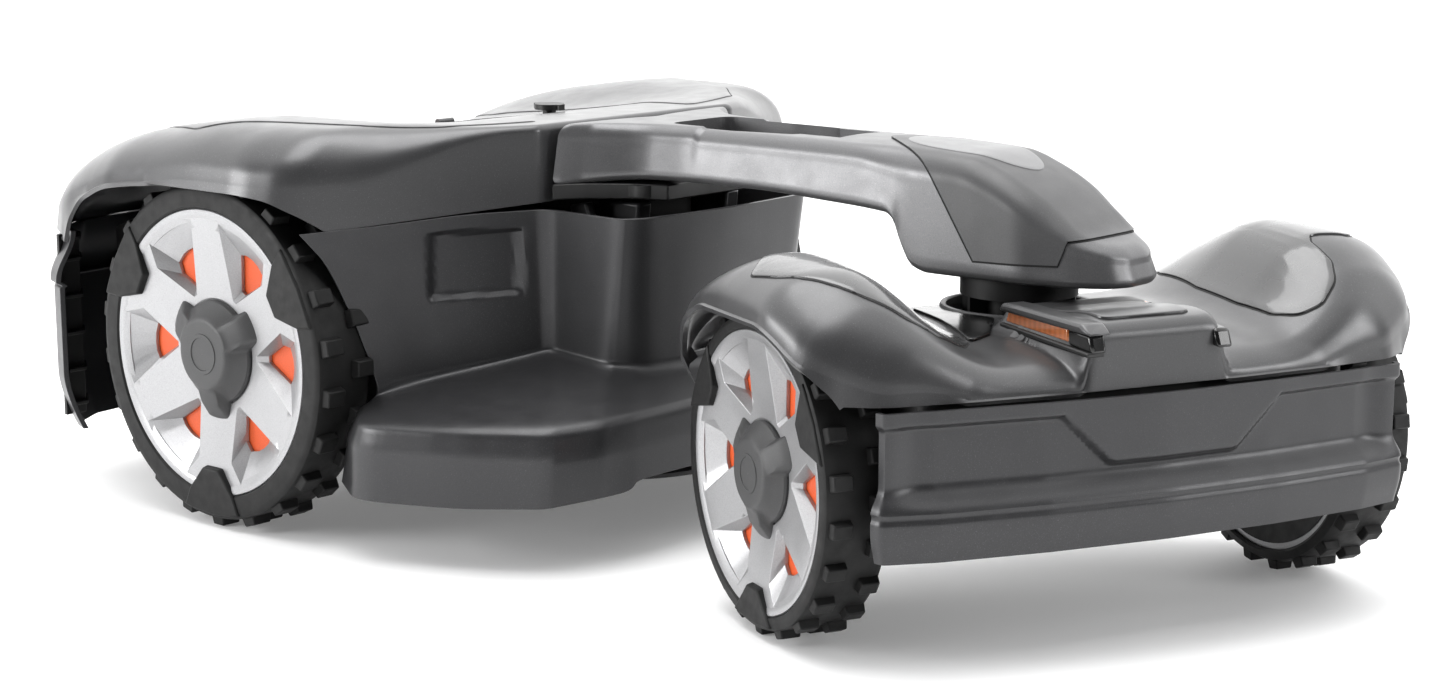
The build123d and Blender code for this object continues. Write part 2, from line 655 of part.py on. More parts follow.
with BuildPart() as rear_lid:
    with BuildSketch(side_plane(REAR, LID_HALF)):
        with BuildLine():
            Polyline((-156, 192.5), (-80, 196.0), (-80, 198.8), (-156, 195.3), close=True)
        make_face()
    extrude(amount=2 * LID_HALF)
rear_lid.part.label = "rear_lid"
export_step(rear_lid.part, "parts/rear_lid.step")

with BuildPart() as tail_lens:
    for lens_y in (HUMP_HALF + 5, -HUMP_HALF):
        with BuildSketch(side_plane(REAR, lens_y)):
            with BuildLine():
                Polyline((-156, 183), (-72, 185), (-76, 192.5), (-154, 190), close=True)
            make_face()
        extrude(amount=5)
tail_lens.part.label = "tail_lens"
export_step(tail_lens.part, "parts/tail_lens.step")

ROLL_EAR = 8.0
TRAY_Z = 67.0
TRAY_FLOOR = 3.0
with BuildPart() as rear_chassis:
    add(prism(REAR.offset(TRAY_Z), chassis_plan, REAR_SEAM - 0.5 - TRAY_Z, 14))
    add(prism(REAR.offset(TRAY_Z + TRAY_FLOOR), chassis_plan, 120, 14, SKIN), mode=Mode.SUBTRACT)
    for ear_x in (-34, 26):
        with BuildSketch(cross_plane(REAR, ear_x)):
            with Locations((0, 120)):
                Rectangle(34, 102)
            with Locations((0, ROLL_Z)):
                Circle(ROLL_PIN_R, mode=Mode.SUBTRACT)
        extrude(amount=ROLL_EAR)
    with BuildSketch(side_plane(REAR, 0)):
        with Locations((REAR_AXLE_X, REAR_WHEEL_R)):
            Circle(14)
    extrude(amount=230, both=True, mode=Mode.SUBTRACT)
    with BuildSketch(cross_plane(REAR, 0)):
        with Locations((0, ROLL_Z)):
            Circle(ROLL_PIN_R)
    extrude(amount=60, both=True, mode=Mode.SUBTRACT)
rear_chassis.part.label = "rear_chassis"
export_step(rear_chassis.part, "parts/rear_chassis.step")

with BuildPart() as roll_pin:
    with BuildSketch(cross_plane(REAR, -40)):
        with Locations((0, ROLL_Z)):
            Circle(ROLL_PIN_R)
    extrude(amount=80)
roll_pin.part.label = "roll_pin"
export_step(roll_pin.part, "parts/roll_pin.step")

rear_bumper_plan = both_sides([(-110, 186), (-152, 184), (-168, 150), (-176, 70), (-178, 20)])
BUMPER_Z = 70.0
with BuildPart() as rear_bumper:
    add(prism(REAR.offset(BUMPER_Z), rear_bumper_plan, 30, 10))
    add(prism(REAR.offset(100), rear_bumper_plan, REAR_SEAM - 1.2 - 100, 10, 10))
    add(prism(REAR.offset(BUMPER_Z - 10), rear_bumper_plan, 36, 10, 4), mode=Mode.SUBTRACT)
    add(prism(REAR.offset(96), rear_bumper_plan, 80, 10, 14), mode=Mode.SUBTRACT)
    with BuildSketch(REAR):
        with Locations((-96, 0)):
            Rectangle(109, 500)
    extrude(amount=300, mode=Mode.SUBTRACT)
rear_bumper.part.label = "rear_bumper"
export_step(rear_bumper.part, "parts/rear_bumper.step")

# ---------------------------------------------------------------- wheels
LUGS = 22
SPOKE_DEPTH = 8.0
DISC_DEPTH = 19.0
AXLE_R = 8.0
MOTOR_LONG = 78.0
lobe_shape = [(-10, 81), (-25.5, 99), (-37, 122), (37, 122), (25.5, 99), (10, 81)]
window_shape = [(-6, 46), (-14, 60), (-17, 72), (-12, 79), (12, 79), (17, 72), (14, 60), (6, 46)]
cap_lug_shape = [(-14, 24), (-7.5, 49), (7.5, 49), (14, 24)]
LOBE_ANGLES = (0, 120, 240)
WINDOW_ANGLES = (30, 90, 150, 210, 270, 330)


def turned(points, angle, scale):
    """The points scaled and turned about the origin, with angle 0 leaving +Y downward."""
    c, s = cos(radians(angle + 180)), sin(radians(angle + 180))
    return [(scale * (c * px - s * py), scale * (s * px + c * py)) for px, py in points]


def wheel(name, base, x, side, face_y, radius, scale, width):
    """Tyre, rim, coloured disc, hub cap, axle and hub motor of one wheel.

    The hub plane stands on the outer rim edge with its normal pointing out of the wheel.
    """
    hub = Plane(origin=base.from_local_coords((x, side * face_y, radius)),
                x_dir=base.x_dir * -side, z_dir=base.y_dir * side)
    profile_plane = Plane(origin=hub.origin, x_dir=hub.x_dir, z_dir=-hub.y_dir)
    spin = Axis(hub.origin, hub.z_dir)
    rim_r = 101.5 * scale
    wall_r = radius - 7 * scale

    with BuildPart() as tyre:
        with BuildSketch(profile_plane):
            with BuildLine():
                Polyline((rim_r, -1), (rim_r + 5, 2), (wall_r - 6, 2), (wall_r, -3),
                         (wall_r, 3 - width), (wall_r - 5, -width), (rim_r, -width), close=True)
            make_face()
        revolve(axis=spin)
        for angle in LOBE_ANGLES:
            with BuildSketch(hub.offset(-9)):
                with BuildLine():
                    Polyline(*turned(lobe_shape, angle, scale), close=True)
                make_face()
                Circle(wall_r - 2, mode=Mode.INTERSECT)
            extrude(amount=11.5)
        for row, centre in enumerate((-0.25, -0.75)):
            with BuildSketch(hub.offset((centre - 0.2) * width)):
                with PolarLocations((wall_r + radius) / 2 - 1, LUGS, start_angle=row * 180 / LUGS):
                    Rectangle(radius - wall_r + 2, 13 * scale)
            extrude(amount=0.4 * width)
    tyre.part.label = f"{name}_tyre"
    export_step(tyre.part, f"parts/{name}_tyre.step")

    with BuildPart() as rim:
        with BuildSketch(profile_plane):
            with BuildLine():
                Polyline((rim_r, 0), (rim_r - 3, 0), (rim_r - 8, -SPOKE_DEPTH + 1), (39 * scale, -SPOKE_DEPTH - 5),
                         (39 * scale, -SPOKE_DEPTH - 2), (28, -SPOKE_DEPTH - 2), (28, -36), (AXLE_R, -36),
                         (AXLE_R, -41), (33, -41), (33, -SPOKE_DEPTH - 10), (rim_r - 8, -SPOKE_DEPTH - 4),
                         (rim_r - 4, -SPOKE_DEPTH - 4), (rim_r - 4, 4 - width), (rim_r, 4 - width), close=True)
            make_face()
        revolve(axis=spin)
        for angle in WINDOW_ANGLES:
            with BuildSketch(hub.offset(-DISC_DEPTH)):
                with BuildLine():
                    Polyline(*turned(window_shape, angle, scale), close=True)
                make_face()
            extrude(amount=DISC_DEPTH + 4, mode=Mode.SUBTRACT)
        for angle in LOBE_ANGLES:
            with BuildSketch(hub.offset(-9)):
                with BuildLine():
                    Polyline(*turned(lobe_shape, angle, scale), close=True)
                make_face()
            extrude(amount=12, mode=Mode.SUBTRACT)
    rim.part.label = f"{name}_rim"
    export_step(rim.part, f"parts/{name}_rim.step")

    with BuildPart() as inlay:
        with BuildSketch(hub.offset(-DISC_DEPTH - 2)):
            Circle(rim_r - 5)
            Circle(33, mode=Mode.SUBTRACT)
        extrude(amount=2)
    inlay.part.label = f"{name}_inlay"
    export_step(inlay.part, f"parts/{name}_inlay.step")

    with BuildPart() as hub_cap:
        with BuildSketch(profile_plane):
            with BuildLine():
                Polyline((0, 2), (25 * scale, 2), (30 * scale, -2), (37 * scale, -SPOKE_DEPTH - 2),
                         (0, -SPOKE_DEPTH - 2), close=True)
            make_face()
        revolve(axis=spin)
        for angle in LOBE_ANGLES:
            with BuildSketch(hub.offset(-SPOKE_DEPTH - 2)):
                with BuildLine():
                    Polyline(*turned(cap_lug_shape, angle, scale), close=True)
                make_face()
            extrude(amount=SPOKE_DEPTH)
    hub_cap.part.label = f"{name}_hub_cap"
    export_step(hub_cap.part, f"parts/{name}_hub_cap.step")

    with BuildPart() as axle:
        with BuildSketch(hub.offset(-width - 38)):
            Circle(AXLE_R)
        extrude(amount=width + 38 - 12)
    axle.part.label = f"{name}_axle"
    export_step(axle.part, f"parts/{name}_axle.step")

    with BuildPart() as motor:
        with BuildSketch(hub.offset(-width - 13 - MOTOR_LONG)):
            Circle(36 * scale)
        extrude(amount=MOTOR_LONG)
        with BuildSketch(hub.offset(-width - 40)):
            Circle(AXLE_R + RUN_CLEAR)
        extrude(amount=30, mode=Mode.SUBTRACT)
    motor.part.label = f"{name}_motor"
    export_step(motor.part, f"parts/{name}_motor.step")


wheel("front_left", MAIN, FRONT_AXLE_X, 1, FRONT_FACE_Y, FRONT_WHEEL_R, 1.0, FRONT_TYRE_WIDTH)
wheel("front_right", MAIN, FRONT_AXLE_X, -1, FRONT_FACE_Y, FRONT_WHEEL_R, 1.0, FRONT_TYRE_WIDTH)
wheel("rear_left", REAR, REAR_AXLE_X, 1, REAR_FACE_Y, REAR_WHEEL_R, REAR_SCALE, REAR_TYRE_WIDTH)
wheel("rear_right", REAR, REAR_AXLE_X, -1, REAR_FACE_Y, REAR_WHEEL_R, REAR_SCALE, REAR_TYRE_WIDTH)
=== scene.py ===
"""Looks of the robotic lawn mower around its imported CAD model.

Two local frames, both in millimetres with the origin on the ground under the steering axis:
"main" is straight ahead, "rear" is turned with the rear body.  x is forward, y to the left, z up.
"""
import json
import math

import bmesh
import bpy
import numpy as np
from mathutils import Matrix, Vector
from mathutils.bvhtree import BVHTree
from mathutils.geometry import delaunay_2d_cdt


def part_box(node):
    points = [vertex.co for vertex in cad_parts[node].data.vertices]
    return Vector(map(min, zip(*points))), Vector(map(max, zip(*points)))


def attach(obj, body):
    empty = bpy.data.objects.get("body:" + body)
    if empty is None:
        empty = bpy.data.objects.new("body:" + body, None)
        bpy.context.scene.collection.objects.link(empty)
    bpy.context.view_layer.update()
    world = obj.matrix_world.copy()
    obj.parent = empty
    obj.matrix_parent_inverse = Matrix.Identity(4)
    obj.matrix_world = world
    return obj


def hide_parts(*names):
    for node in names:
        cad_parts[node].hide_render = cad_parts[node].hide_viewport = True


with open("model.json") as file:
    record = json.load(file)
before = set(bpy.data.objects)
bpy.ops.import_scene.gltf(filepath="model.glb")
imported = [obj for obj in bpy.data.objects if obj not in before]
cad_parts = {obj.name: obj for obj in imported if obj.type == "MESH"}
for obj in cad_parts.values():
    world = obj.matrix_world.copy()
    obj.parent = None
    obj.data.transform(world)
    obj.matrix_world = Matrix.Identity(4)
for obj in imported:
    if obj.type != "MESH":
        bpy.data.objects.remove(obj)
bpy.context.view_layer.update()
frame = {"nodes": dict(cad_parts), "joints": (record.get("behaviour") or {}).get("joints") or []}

MM = 0.001
SKIN = 3.0                       # moulded wall thickness, mm
joints = {joint["name"]: joint for joint in frame["joints"]}
STEER = Vector(joints["steer"]["pos_m"])
roll_axis = joints["rear_roll"]["axis"]
REST_TURN = math.atan2(roll_axis[1], roll_axis[0])
MAIN = Matrix.Translation((STEER.x, 0, 0)) @ Matrix.Scale(MM, 4)
REAR = Matrix.Translation((STEER.x, 0, 0)) @ Matrix.Rotation(REST_TURN, 4, "Z") @ Matrix.Scale(MM, 4)
WHEELS = ("front_left", "front_right", "rear_left", "rear_right")


# ---------------- materials
def new_material(name):
    material = bpy.data.materials.new(name)
    material.use_nodes = True
    tree = material.node_tree
    shader = tree.nodes["Principled BSDF"]
    place = tree.nodes.new("ShaderNodeTexCoord")
    return material, tree, shader, place.outputs["Object"]


def set_inputs(node, values):
    for name, value in values.items():
        node.inputs[name].default_value = value


def noise(tree, place, scale, detail=2.0):
    texture = tree.nodes.new("ShaderNodeTexNoise")
    set_inputs(texture, {"Scale": scale, "Detail": detail})
    tree.links.new(place, texture.inputs["Vector"])
    return texture.outputs["Fac"]


def ramp(tree, value, stops):
    node = tree.nodes.new("ShaderNodeValToRGB")
    elements = node.color_ramp.elements
    while len(elements) < len(stops):
        elements.new(0.5)
    for element, (position, colour) in zip(elements, stops):
        element.position = position
        element.color = (*colour, 1.0)
    tree.links.new(value, node.inputs["Fac"])
    return node.outputs["Color"]


def paint(tree, shader, value, stops):
    """Colour a surface by a value from 0 to 1."""
    tree.links.new(ramp(tree, value, stops), shader.inputs["Base Color"])


def polish(tree, shader, value, low, high):
    """Let the roughness wander between two values."""
    node = tree.nodes.new("ShaderNodeMapRange")
    set_inputs(node, {"From Min": 0.3, "From Max": 0.7, "To Min": low, "To Max": high})
    tree.links.new(value, node.inputs["Value"])
    tree.links.new(node.outputs["Result"], shader.inputs["Roughness"])


def bump(tree, shader, value, distance):
    node = tree.nodes.new("ShaderNodeBump")
    set_inputs(node, {"Strength": 1.0, "Distance": distance})
    tree.links.new(value, node.inputs["Height"])
    tree.links.new(node.outputs["Normal"], shader.inputs["Normal"])


def shaded(colour, factor):
    return tuple(min(1.0, channel * factor) for channel in colour)


def moulded(name, colour, rough, grain=0.00003, fleck=1.35, coat=0.0, metallic=0.0):
    """Moulded or painted plastic: cloudy tint, fine bright flecks, spark-eroded grain."""
    material, tree, shader, place = new_material(name)
    mixed = tree.nodes.new("ShaderNodeMath")
    mixed.operation = "MULTIPLY_ADD"
    mixed.inputs[1].default_value = 0.25
    tree.links.new(noise(tree, place, 9.0, 3.0), mixed.inputs[0])
    tree.links.new(noise(tree, place, 1500.0, 1.0), mixed.inputs[2])
    paint(tree, shader, mixed.outputs[0], [(0.35, shaded(colour, 0.84)), (0.62, colour),
                                           (0.80, shaded(colour, 1.06)), (0.90, shaded(colour, fleck))])
    polish(tree, shader, noise(tree, place, 60.0), rough - 0.035, rough + 0.035)
    bump(tree, shader, noise(tree, place, 1900.0, 1.0), grain)
    set_inputs(shader, {"Metallic": metallic, "Coat Weight": coat,
                        "Coat Roughness": 0.08 if coat > 0.4 else 0.3})
    return material


def rubber(name, colour):
    material, tree, shader, place = new_material(name)
    dust = noise(tree, place, 35.0, 4.0)
    paint(tree, shader, dust, [(0.3, shaded(colour, 0.8)), (0.55, colour), (0.75, shaded(colour, 1.5))])
    polish(tree, shader, noise(tree, place, 120.0), 0.5, 0.66)
    bump(tree, shader, noise(tree, place, 900.0, 3.0), 0.00006)
    set_inputs(shader, {"Specular IOR Level": 0.3})
    return material


def metal(name, colour, rough):
    """Turned or rolled metal with faint streaks along one direction."""
    material, tree, shader, place = new_material(name)
    stretch = tree.nodes.new("ShaderNodeMapping")
    set_inputs(stretch, {"Scale": (40.0, 900.0, 900.0)})
    tree.links.new(place, stretch.inputs["Vector"])
    lines = noise(tree, stretch.outputs["Vector"], 1.0, 3.0)
    paint(tree, shader, lines, [(0.3, shaded(colour, 0.8)), (0.7, colour)])
    polish(tree, shader, lines, rough - 0.05, rough + 0.08)
    bump(tree, shader, lines, 0.00002)
    set_inputs(shader, {"Metallic": 1.0})
    return material


def lens(name, colour, rough, glow):
    """Clear or tinted lens with fine ribs behind a smooth face."""
    material, tree, shader, place = new_material(name)
    ribs = tree.nodes.new("ShaderNodeTexWave")
    set_inputs(ribs, {"Scale": 60.0, "Distortion": 0.4})
    tree.links.new(place, ribs.inputs["Vector"])
    paint(tree, shader, ribs.outputs["Fac"], [(0.2, shaded(colour, 0.9)), (0.8, shaded(colour, 1.08))])
    polish(tree, shader, noise(tree, place, 80.0), rough, rough + 0.06)
    set_inputs(shader, {"Subsurface Weight": glow, "Subsurface Radius": (0.004, 0.002, 0.001),
                        "Coat Weight": 0.6})
    return material


def circuit_board(name):
    material, tree, shader, place = new_material(name)
    cells = tree.nodes.new("ShaderNodeTexVoronoi")
    set_inputs(cells, {"Scale": 220.0})
    tree.links.new(place, cells.inputs["Vector"])
    paint(tree, shader, cells.outputs["Distance"], [(0.05, (0.55, 0.45, 0.2)), (0.12, (0.02, 0.12, 0.05)),
                                                    (0.9, (0.03, 0.17, 0.07))])
    polish(tree, shader, noise(tree, place, 300.0), 0.3, 0.45)
    return material


PLASTICS = {
    "shell_graphite": dict(colour=(0.062, 0.062, 0.064), rough=0.33, fleck=2.0, metallic=0.5, coat=0.3),
    "chassis_graphite": dict(colour=(0.040, 0.040, 0.042), rough=0.34, fleck=1.9, metallic=0.4),
    "arm_grey": dict(colour=(0.135, 0.135, 0.138), rough=0.36, fleck=1.5, metallic=0.55),
    "cap_dark": dict(colour=(0.062, 0.062, 0.064), rough=0.42, grain=0.00005, fleck=1.6),
    "badge_grey": dict(colour=(0.17, 0.17, 0.173), rough=0.36, fleck=1.2),
    "gloss_trim": dict(colour=(0.045, 0.045, 0.046), rough=0.28, grain=0.000004, fleck=1.5, coat=0.6,
                       metallic=0.3),
    "gloss_black": dict(colour=(0.004, 0.004, 0.004), rough=0.16, grain=0.000002, coat=0.15),
    "black_plastic": dict(colour=(0.012, 0.012, 0.012), rough=0.45),
    "seam_black": dict(colour=(0.003, 0.003, 0.003), rough=0.7),
    "stop_red": dict(colour=(0.55, 0.02, 0.012), rough=0.3, coat=0.4),
    "battery_blue": dict(colour=(0.03, 0.045, 0.09), rough=0.5),
    "rim_silver": dict(colour=(0.37, 0.37, 0.377), rough=0.34, grain=0.000012, fleck=1.12, metallic=0.6),
    "inlay_orange": dict(colour=(0.66, 0.085, 0.012), rough=0.5, fleck=1.1),
    "hub_dark": dict(colour=(0.040, 0.040, 0.041), rough=0.5, grain=0.00005, fleck=1.5),
}
MATERIALS = {name: moulded(name, **look) for name, look in PLASTICS.items()}
MATERIALS |= {
    "board_green": circuit_board("board_green"),
    "lamp_clear": lens("lamp_clear", (0.75, 0.78, 0.82), 0.06, 0.1),
    "lens_amber": lens("lens_amber", (0.62, 0.20, 0.07), 0.12, 0.25),
    "contact_metal": metal("contact_metal", (0.75, 0.56, 0.25), 0.3),
    "steel": metal("steel", (0.55, 0.55, 0.57), 0.32),
    "motor_alu": metal("motor_alu", (0.45, 0.45, 0.46), 0.42),
    "tyre_black": rubber("tyre_black", (0.006, 0.006, 0.006)),
}
NODE_SLOTS = {
    "shell_graphite": ("hatch",),
    "black_plastic": ("chassis_lid", "arm_foot", "rear_chassis", "control_panel", "latch_knob",
                      "cutting_carriage", "skid_plate", "steering_column", "steering_bearing"),
    "stop_red": ("stop_button",),
    "battery_blue": ("battery_pack",),
    "board_green": ("main_board",),
    "lamp_clear": ("front_lights",),
    "contact_metal": ("charging_contacts",),
    "steel": ("guide_posts", "blade_disc", "blade_1", "blade_2", "blade_3", "blade_screws", "roll_pin",
              "steering_gear", *[wheel + "_axle" for wheel in WHEELS]),
    "motor_alu": ("cutting_motor", "steering_motor", *[wheel + "_motor" for wheel in WHEELS]),
}


def smooth(mesh, angle=32.0):
    mesh.polygons.foreach_set("use_smooth", [True] * len(mesh.polygons))
    mesh.set_sharp_from_angle(angle=math.radians(angle))


def edge_bevel(thing, width, segments=2, angle=30.0):
    modifier = thing.modifiers.new("edges", "BEVEL")
    modifier.width = width * MM
    modifier.segments = segments
    modifier.limit_method = "ANGLE"
    modifier.angle_limit = math.radians(angle)
    modifier.harden_normals = False


for slot_name, node_names in NODE_SLOTS.items():
    for node_name in node_names:
        node = frame["nodes"][node_name]
        node.data.materials.clear()
        node.data.materials.append(MATERIALS[slot_name])
        smooth(node.data)


# ---------------- curves and grids
def curve(points):
    """Monotone cubic through (position, value) pairs, as a function of position."""
    x, y = np.array(points, float).T
    run = np.diff(x)
    slope = np.diff(y) / run
    tangent = np.zeros_like(y)
    tangent[0], tangent[-1] = slope[0], slope[-1]
    for i in range(1, len(x) - 1):
        if slope[i - 1] * slope[i] > 0:
            tangent[i] = 2 / (1 / slope[i - 1] + 1 / slope[i])

    def value(at):
        at = np.clip(at, x[0], x[-1])
        i = np.clip(np.searchsorted(x, at) - 1, 0, len(run) - 1)
        t = (at - x[i]) / run[i]
        start, end = y[i], y[i + 1]
        return (start * (1 + 2 * t) * (1 - t) ** 2 + run[i] * tangent[i] * t * (1 - t) ** 2
                + end * t * t * (3 - 2 * t) + run[i] * tangent[i + 1] * t * t * (t - 1))
    return value


def ease(value, low, high):
    t = np.clip((value - low) / (high - low), 0, 1)
    return t * t * t * (t * (6 * t - 15) + 10)


def both_sides(points):
    """Close a half outline, listed from rear to front with y >= 0, by its mirror image."""
    return points + [(p[0], -p[1], *p[2:]) for p in reversed(points) if p[1] > 0]


def rounded_corner(here, before, after, radius, steps):
    """Points of a parabola that takes off the corner between two neighbours."""
    back, ahead = before - here, after - here
    long_back, long_ahead = np.linalg.norm(back), np.linalg.norm(ahead)
    back, ahead = back / long_back, ahead / long_ahead
    half = 0.5 * math.acos(float(np.clip(back @ ahead, -1, 1)))
    cut = min(radius / max(math.tan(half), 1e-3), 0.49 * min(long_back, long_ahead))
    return [(1 - t) ** 2 * (here + back * cut) + 2 * t * (1 - t) * here + t * t * (here + ahead * cut)
            for t in np.linspace(0, 1, steps)]


def evenly(path, count, with_end):
    """Evenly spaced points along a path."""
    path = np.array(path)
    travel = np.concatenate([[0], np.cumsum(np.linalg.norm(np.diff(path, axis=0), axis=1))])
    even = np.linspace(0, travel[-1], count, endpoint=with_end)
    return np.stack([np.interp(even, travel, path[:, k]) for k in (0, 1)], axis=1)


def rounded_loop(corners, radius, count):
    """Closed outline with rounded corners as evenly spaced points; a corner may bring its own radius."""
    spots = [np.array(c[:2], float) for c in corners]
    path = []
    for i, corner in enumerate(corners):
        own_radius = corner[2] if len(corner) > 2 else radius
        path += rounded_corner(spots[i], spots[i - 1], spots[(i + 1) % len(spots)], own_radius, 13)
    start = (path[-1] + path[0]) / 2
    return evenly([start, *path, start], count, False)


def open_line(half, count):
    """Open line through a half outline and its mirror image, with its outward normals.

    Each corner is (x, y, radius).
    """
    corners = both_sides(half)
    spots = [np.array(c[:2], float) for c in corners]
    path = [spots[0]]
    for i in range(1, len(corners) - 1):
        path += rounded_corner(spots[i], spots[i - 1], spots[i + 1], corners[i][2], 11)
    line = evenly([*path, spots[-1]], count, True)
    along = np.gradient(line, axis=0)
    normal = np.stack([along[:, 1], -along[:, 0]], axis=1)
    normal /= np.linalg.norm(normal, axis=1)[:, None]
    middle = count // 2
    if normal[middle] @ (line[middle] - line[0]) < 0:
        normal = -normal
    return line, normal


def inward(loop):
    """Unit normals pointing into a closed outline."""
    along = np.roll(loop, -1, axis=0) - np.roll(loop, 1, axis=0)
    normal = np.stack([-along[:, 1], along[:, 0]], axis=1)
    normal /= np.linalg.norm(normal, axis=1)[:, None]
    area = np.sum(loop[:, 0] * np.roll(loop[:, 1], -1) - np.roll(loop[:, 0], -1) * loop[:, 1])
    return normal if area > 0 else -normal


def row_faces(rows, columns, closed):
    faces = []
    across = columns if closed else columns - 1
    for r in range(rows - 1):
        for c in range(across):
            d = (c + 1) % columns
            faces.append((r * columns + c, r * columns + d, (r + 1) * columns + d, (r + 1) * columns + c))
    return faces


def closed_faces(count, rows=2):
    """Faces of a closed body over rows of outline points: the sides and both ends."""
    last = (rows - 1) * count
    return row_faces(rows, count, True) + [tuple(range(count))[::-1], tuple(range(last, last + count))]


def rounded_net(net, along=0.3, down=0.3, fine=8):
    """Surface over a control net: straight between its points, with every fold rounded off.

    net[level][station] is a point; along and down are the shares of a cell used by the rounding.
    """
    net = np.array(net, float)

    def pass_over(points, share):
        out = [points[0]]
        last = len(points) - 1
        shares = share if hasattr(share, "__len__") else [share] * (last + 1)
        for k in range(1, last):
            w = shares[k]
            start = points[k] + (points[k - 1] - points[k]) * w
            end = points[k] + (points[k + 1] - points[k]) * w
            for t in np.linspace(0, 1, fine):
                out.append((1 - t) ** 2 * start + 2 * t * (1 - t) * points[k] + t * t * end)
        out.append(points[last])
        return np.array(out)
    return pass_over(np.swapaxes(pass_over(net, down), 0, 1), along).swapaxes(0, 1)


# ---------------- pieces
def mesh_of(name, points, faces, place):
    mesh = bpy.data.meshes.new(name)
    mesh.from_pydata([place @ Vector(p) for p in points], [], faces)
    cleaner = bmesh.new()
    cleaner.from_mesh(mesh)
    bmesh.ops.remove_doubles(cleaner, verts=cleaner.verts, dist=0.02 * MM)
    bmesh.ops.dissolve_degenerate(cleaner, edges=cleaner.edges, dist=0.005 * MM)
    bmesh.ops.recalc_face_normals(cleaner, faces=cleaner.faces)
    cleaner.to_mesh(mesh)
    cleaner.free()
    return mesh


def new_thing(name, data):
    thing = bpy.data.objects.new(name, data)
    bpy.context.scene.collection.objects.link(thing)
    return thing


def piece(name, points, faces, place, slot, body, stands_for=(), material=None, thick=0.0, bevel=0.0,
          outward=None, angle=32.0):
    """A named mesh piece of the object; thick gives a moulded wall grown inward from the surface."""
    mesh = mesh_of(name, points, faces, place)
    thing = new_thing(name, mesh)
    if outward is not None:
        face_outward(mesh, place @ Vector(outward))
    mesh.materials.append(MATERIALS[material or slot])
    if thick:
        wall = thing.modifiers.new("wall", "SOLIDIFY")
        wall.thickness = thick * MM
        wall.offset = -1.0
        wall.use_even_offset = True
        bake(thing)
    smooth(thing.data, angle)
    if bevel:
        edge_bevel(thing, bevel)
    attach(thing, body)
    if stands_for:
        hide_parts(*stands_for)
    return thing


def face_outward(mesh, centre):
    """Turn the faces of an open surface so that, on the whole, they look away from a point inside."""
    total = sum((p.center - centre).dot(p.normal) * p.area for p in mesh.polygons)
    if total < 0:
        mesh.flip_normals()


def bake(thing):
    """Apply a piece's modifiers to its mesh."""
    graph = bpy.context.evaluated_depsgraph_get()
    graph.update()
    baked = bpy.data.meshes.new_from_object(thing.evaluated_get(graph))
    thing.modifiers.clear()
    thing.data = baked


def prism_mesh(loop, low, high, place):
    """Closed straight prism over an outline."""
    points = [(x, y, z) for z in (low, high) for x, y in loop]
    return mesh_of("cutter", points, closed_faces(len(loop)), place)


def side_points(outline, y_low, y_high):
    """A side outline (x, z) at two places across."""
    return [(x, y, z) for y in (y_low, y_high) for x, z in outline]


def side_prism(outline, y_low, y_high, place):
    """Closed prism with a side outline, running across from y_low to y_high."""
    return mesh_of("cutter", side_points(outline, y_low, y_high), closed_faces(len(outline)), place)


def carve(thing, meshes, operation="DIFFERENCE", angle=32.0):
    """Cut shapes out of a closed piece, or keep only what lies inside them."""
    cutters = []
    for mesh in meshes:
        cutter = new_thing("cutter", mesh)
        modifier = thing.modifiers.new("cut", "BOOLEAN")
        modifier.operation = operation
        modifier.solver = "EXACT"
        modifier.object = cutter
        cutters.append(cutter)
    kept = list(thing.data.materials)
    bake(thing)
    thing.data.materials.clear()
    for material in kept:
        thing.data.materials.append(material)
    for cutter in cutters:
        bpy.data.objects.remove(cutter)
    smooth(thing.data, angle)


class Crown:
    """A domed cover over a closed outline: walls up from a lower edge, a rounded shoulder, a crowned top.

    top(x, y) is the height of the crown, lower(x, y) its lower edge, and shoulder(x, y) gives the
    rounding's width and height.  draft draws the walls in towards the top, grow makes the whole cover
    larger, and floor is the rounding of a closed underside.
    """

    def __init__(self, loop, spine, top, lower, shoulder, draft=0.0, grow=0.0, floor=0.0):
        loop = loop - inward(loop) * grow
        x, y = loop.T
        reach = np.clip(x, spine[0], spine[1])
        ahead = np.stack([reach, np.zeros_like(reach)], axis=1) - loop
        room = np.linalg.norm(ahead, axis=1)
        ahead /= room[:, None]
        width, drop = shoulder(x, y)
        bottom = lower(x, y)
        crown = top(x, y) + grow
        drop = np.clip(drop, 0.5, np.maximum(crown - bottom - 1.0, 0.5))
        high = crown - drop
        rows = []
        if floor:
            for share in np.linspace(1, 0, 14):
                flat = loop + ahead * (floor + (room - floor) * share)[:, None]
                rows.append(np.column_stack([flat, lower(flat[:, 0], flat[:, 1]) - grow]))
            for angle in np.linspace(0, math.pi / 2, 6)[1:-1]:
                flat = loop + ahead * floor * (1 - math.sin(angle))
                rows.append(np.column_stack([flat, bottom - grow + floor * (1 - math.cos(angle))]))
            bottom = bottom - grow + floor
        for share in np.linspace(0, 1, 9):
            rows.append(np.column_stack([loop + ahead * draft * share, bottom + (high - bottom) * share]))
        for angle in np.linspace(0, math.pi / 2, 11)[1:]:
            inset = width * (1 - math.cos(angle)) + draft
            flat = loop + ahead * inset[:, None]
            z = top(flat[:, 0], flat[:, 1]) + grow - drop * (1 - math.sin(angle))
            rows.append(np.column_stack([flat, z]))
        start = width + draft
        for share in np.linspace(0, 1, 26)[1:]:
            inset = start + (room - start) * share
            flat = loop + ahead * inset[:, None]
            rows.append(np.column_stack([flat, top(flat[:, 0], flat[:, 1]) + grow]))
        self.points = np.concatenate(rows)
        self.faces = row_faces(len(rows), len(loop), True)

    def tree(self):
        return BVHTree.FromPolygons([Vector(p) for p in self.points], self.faces)


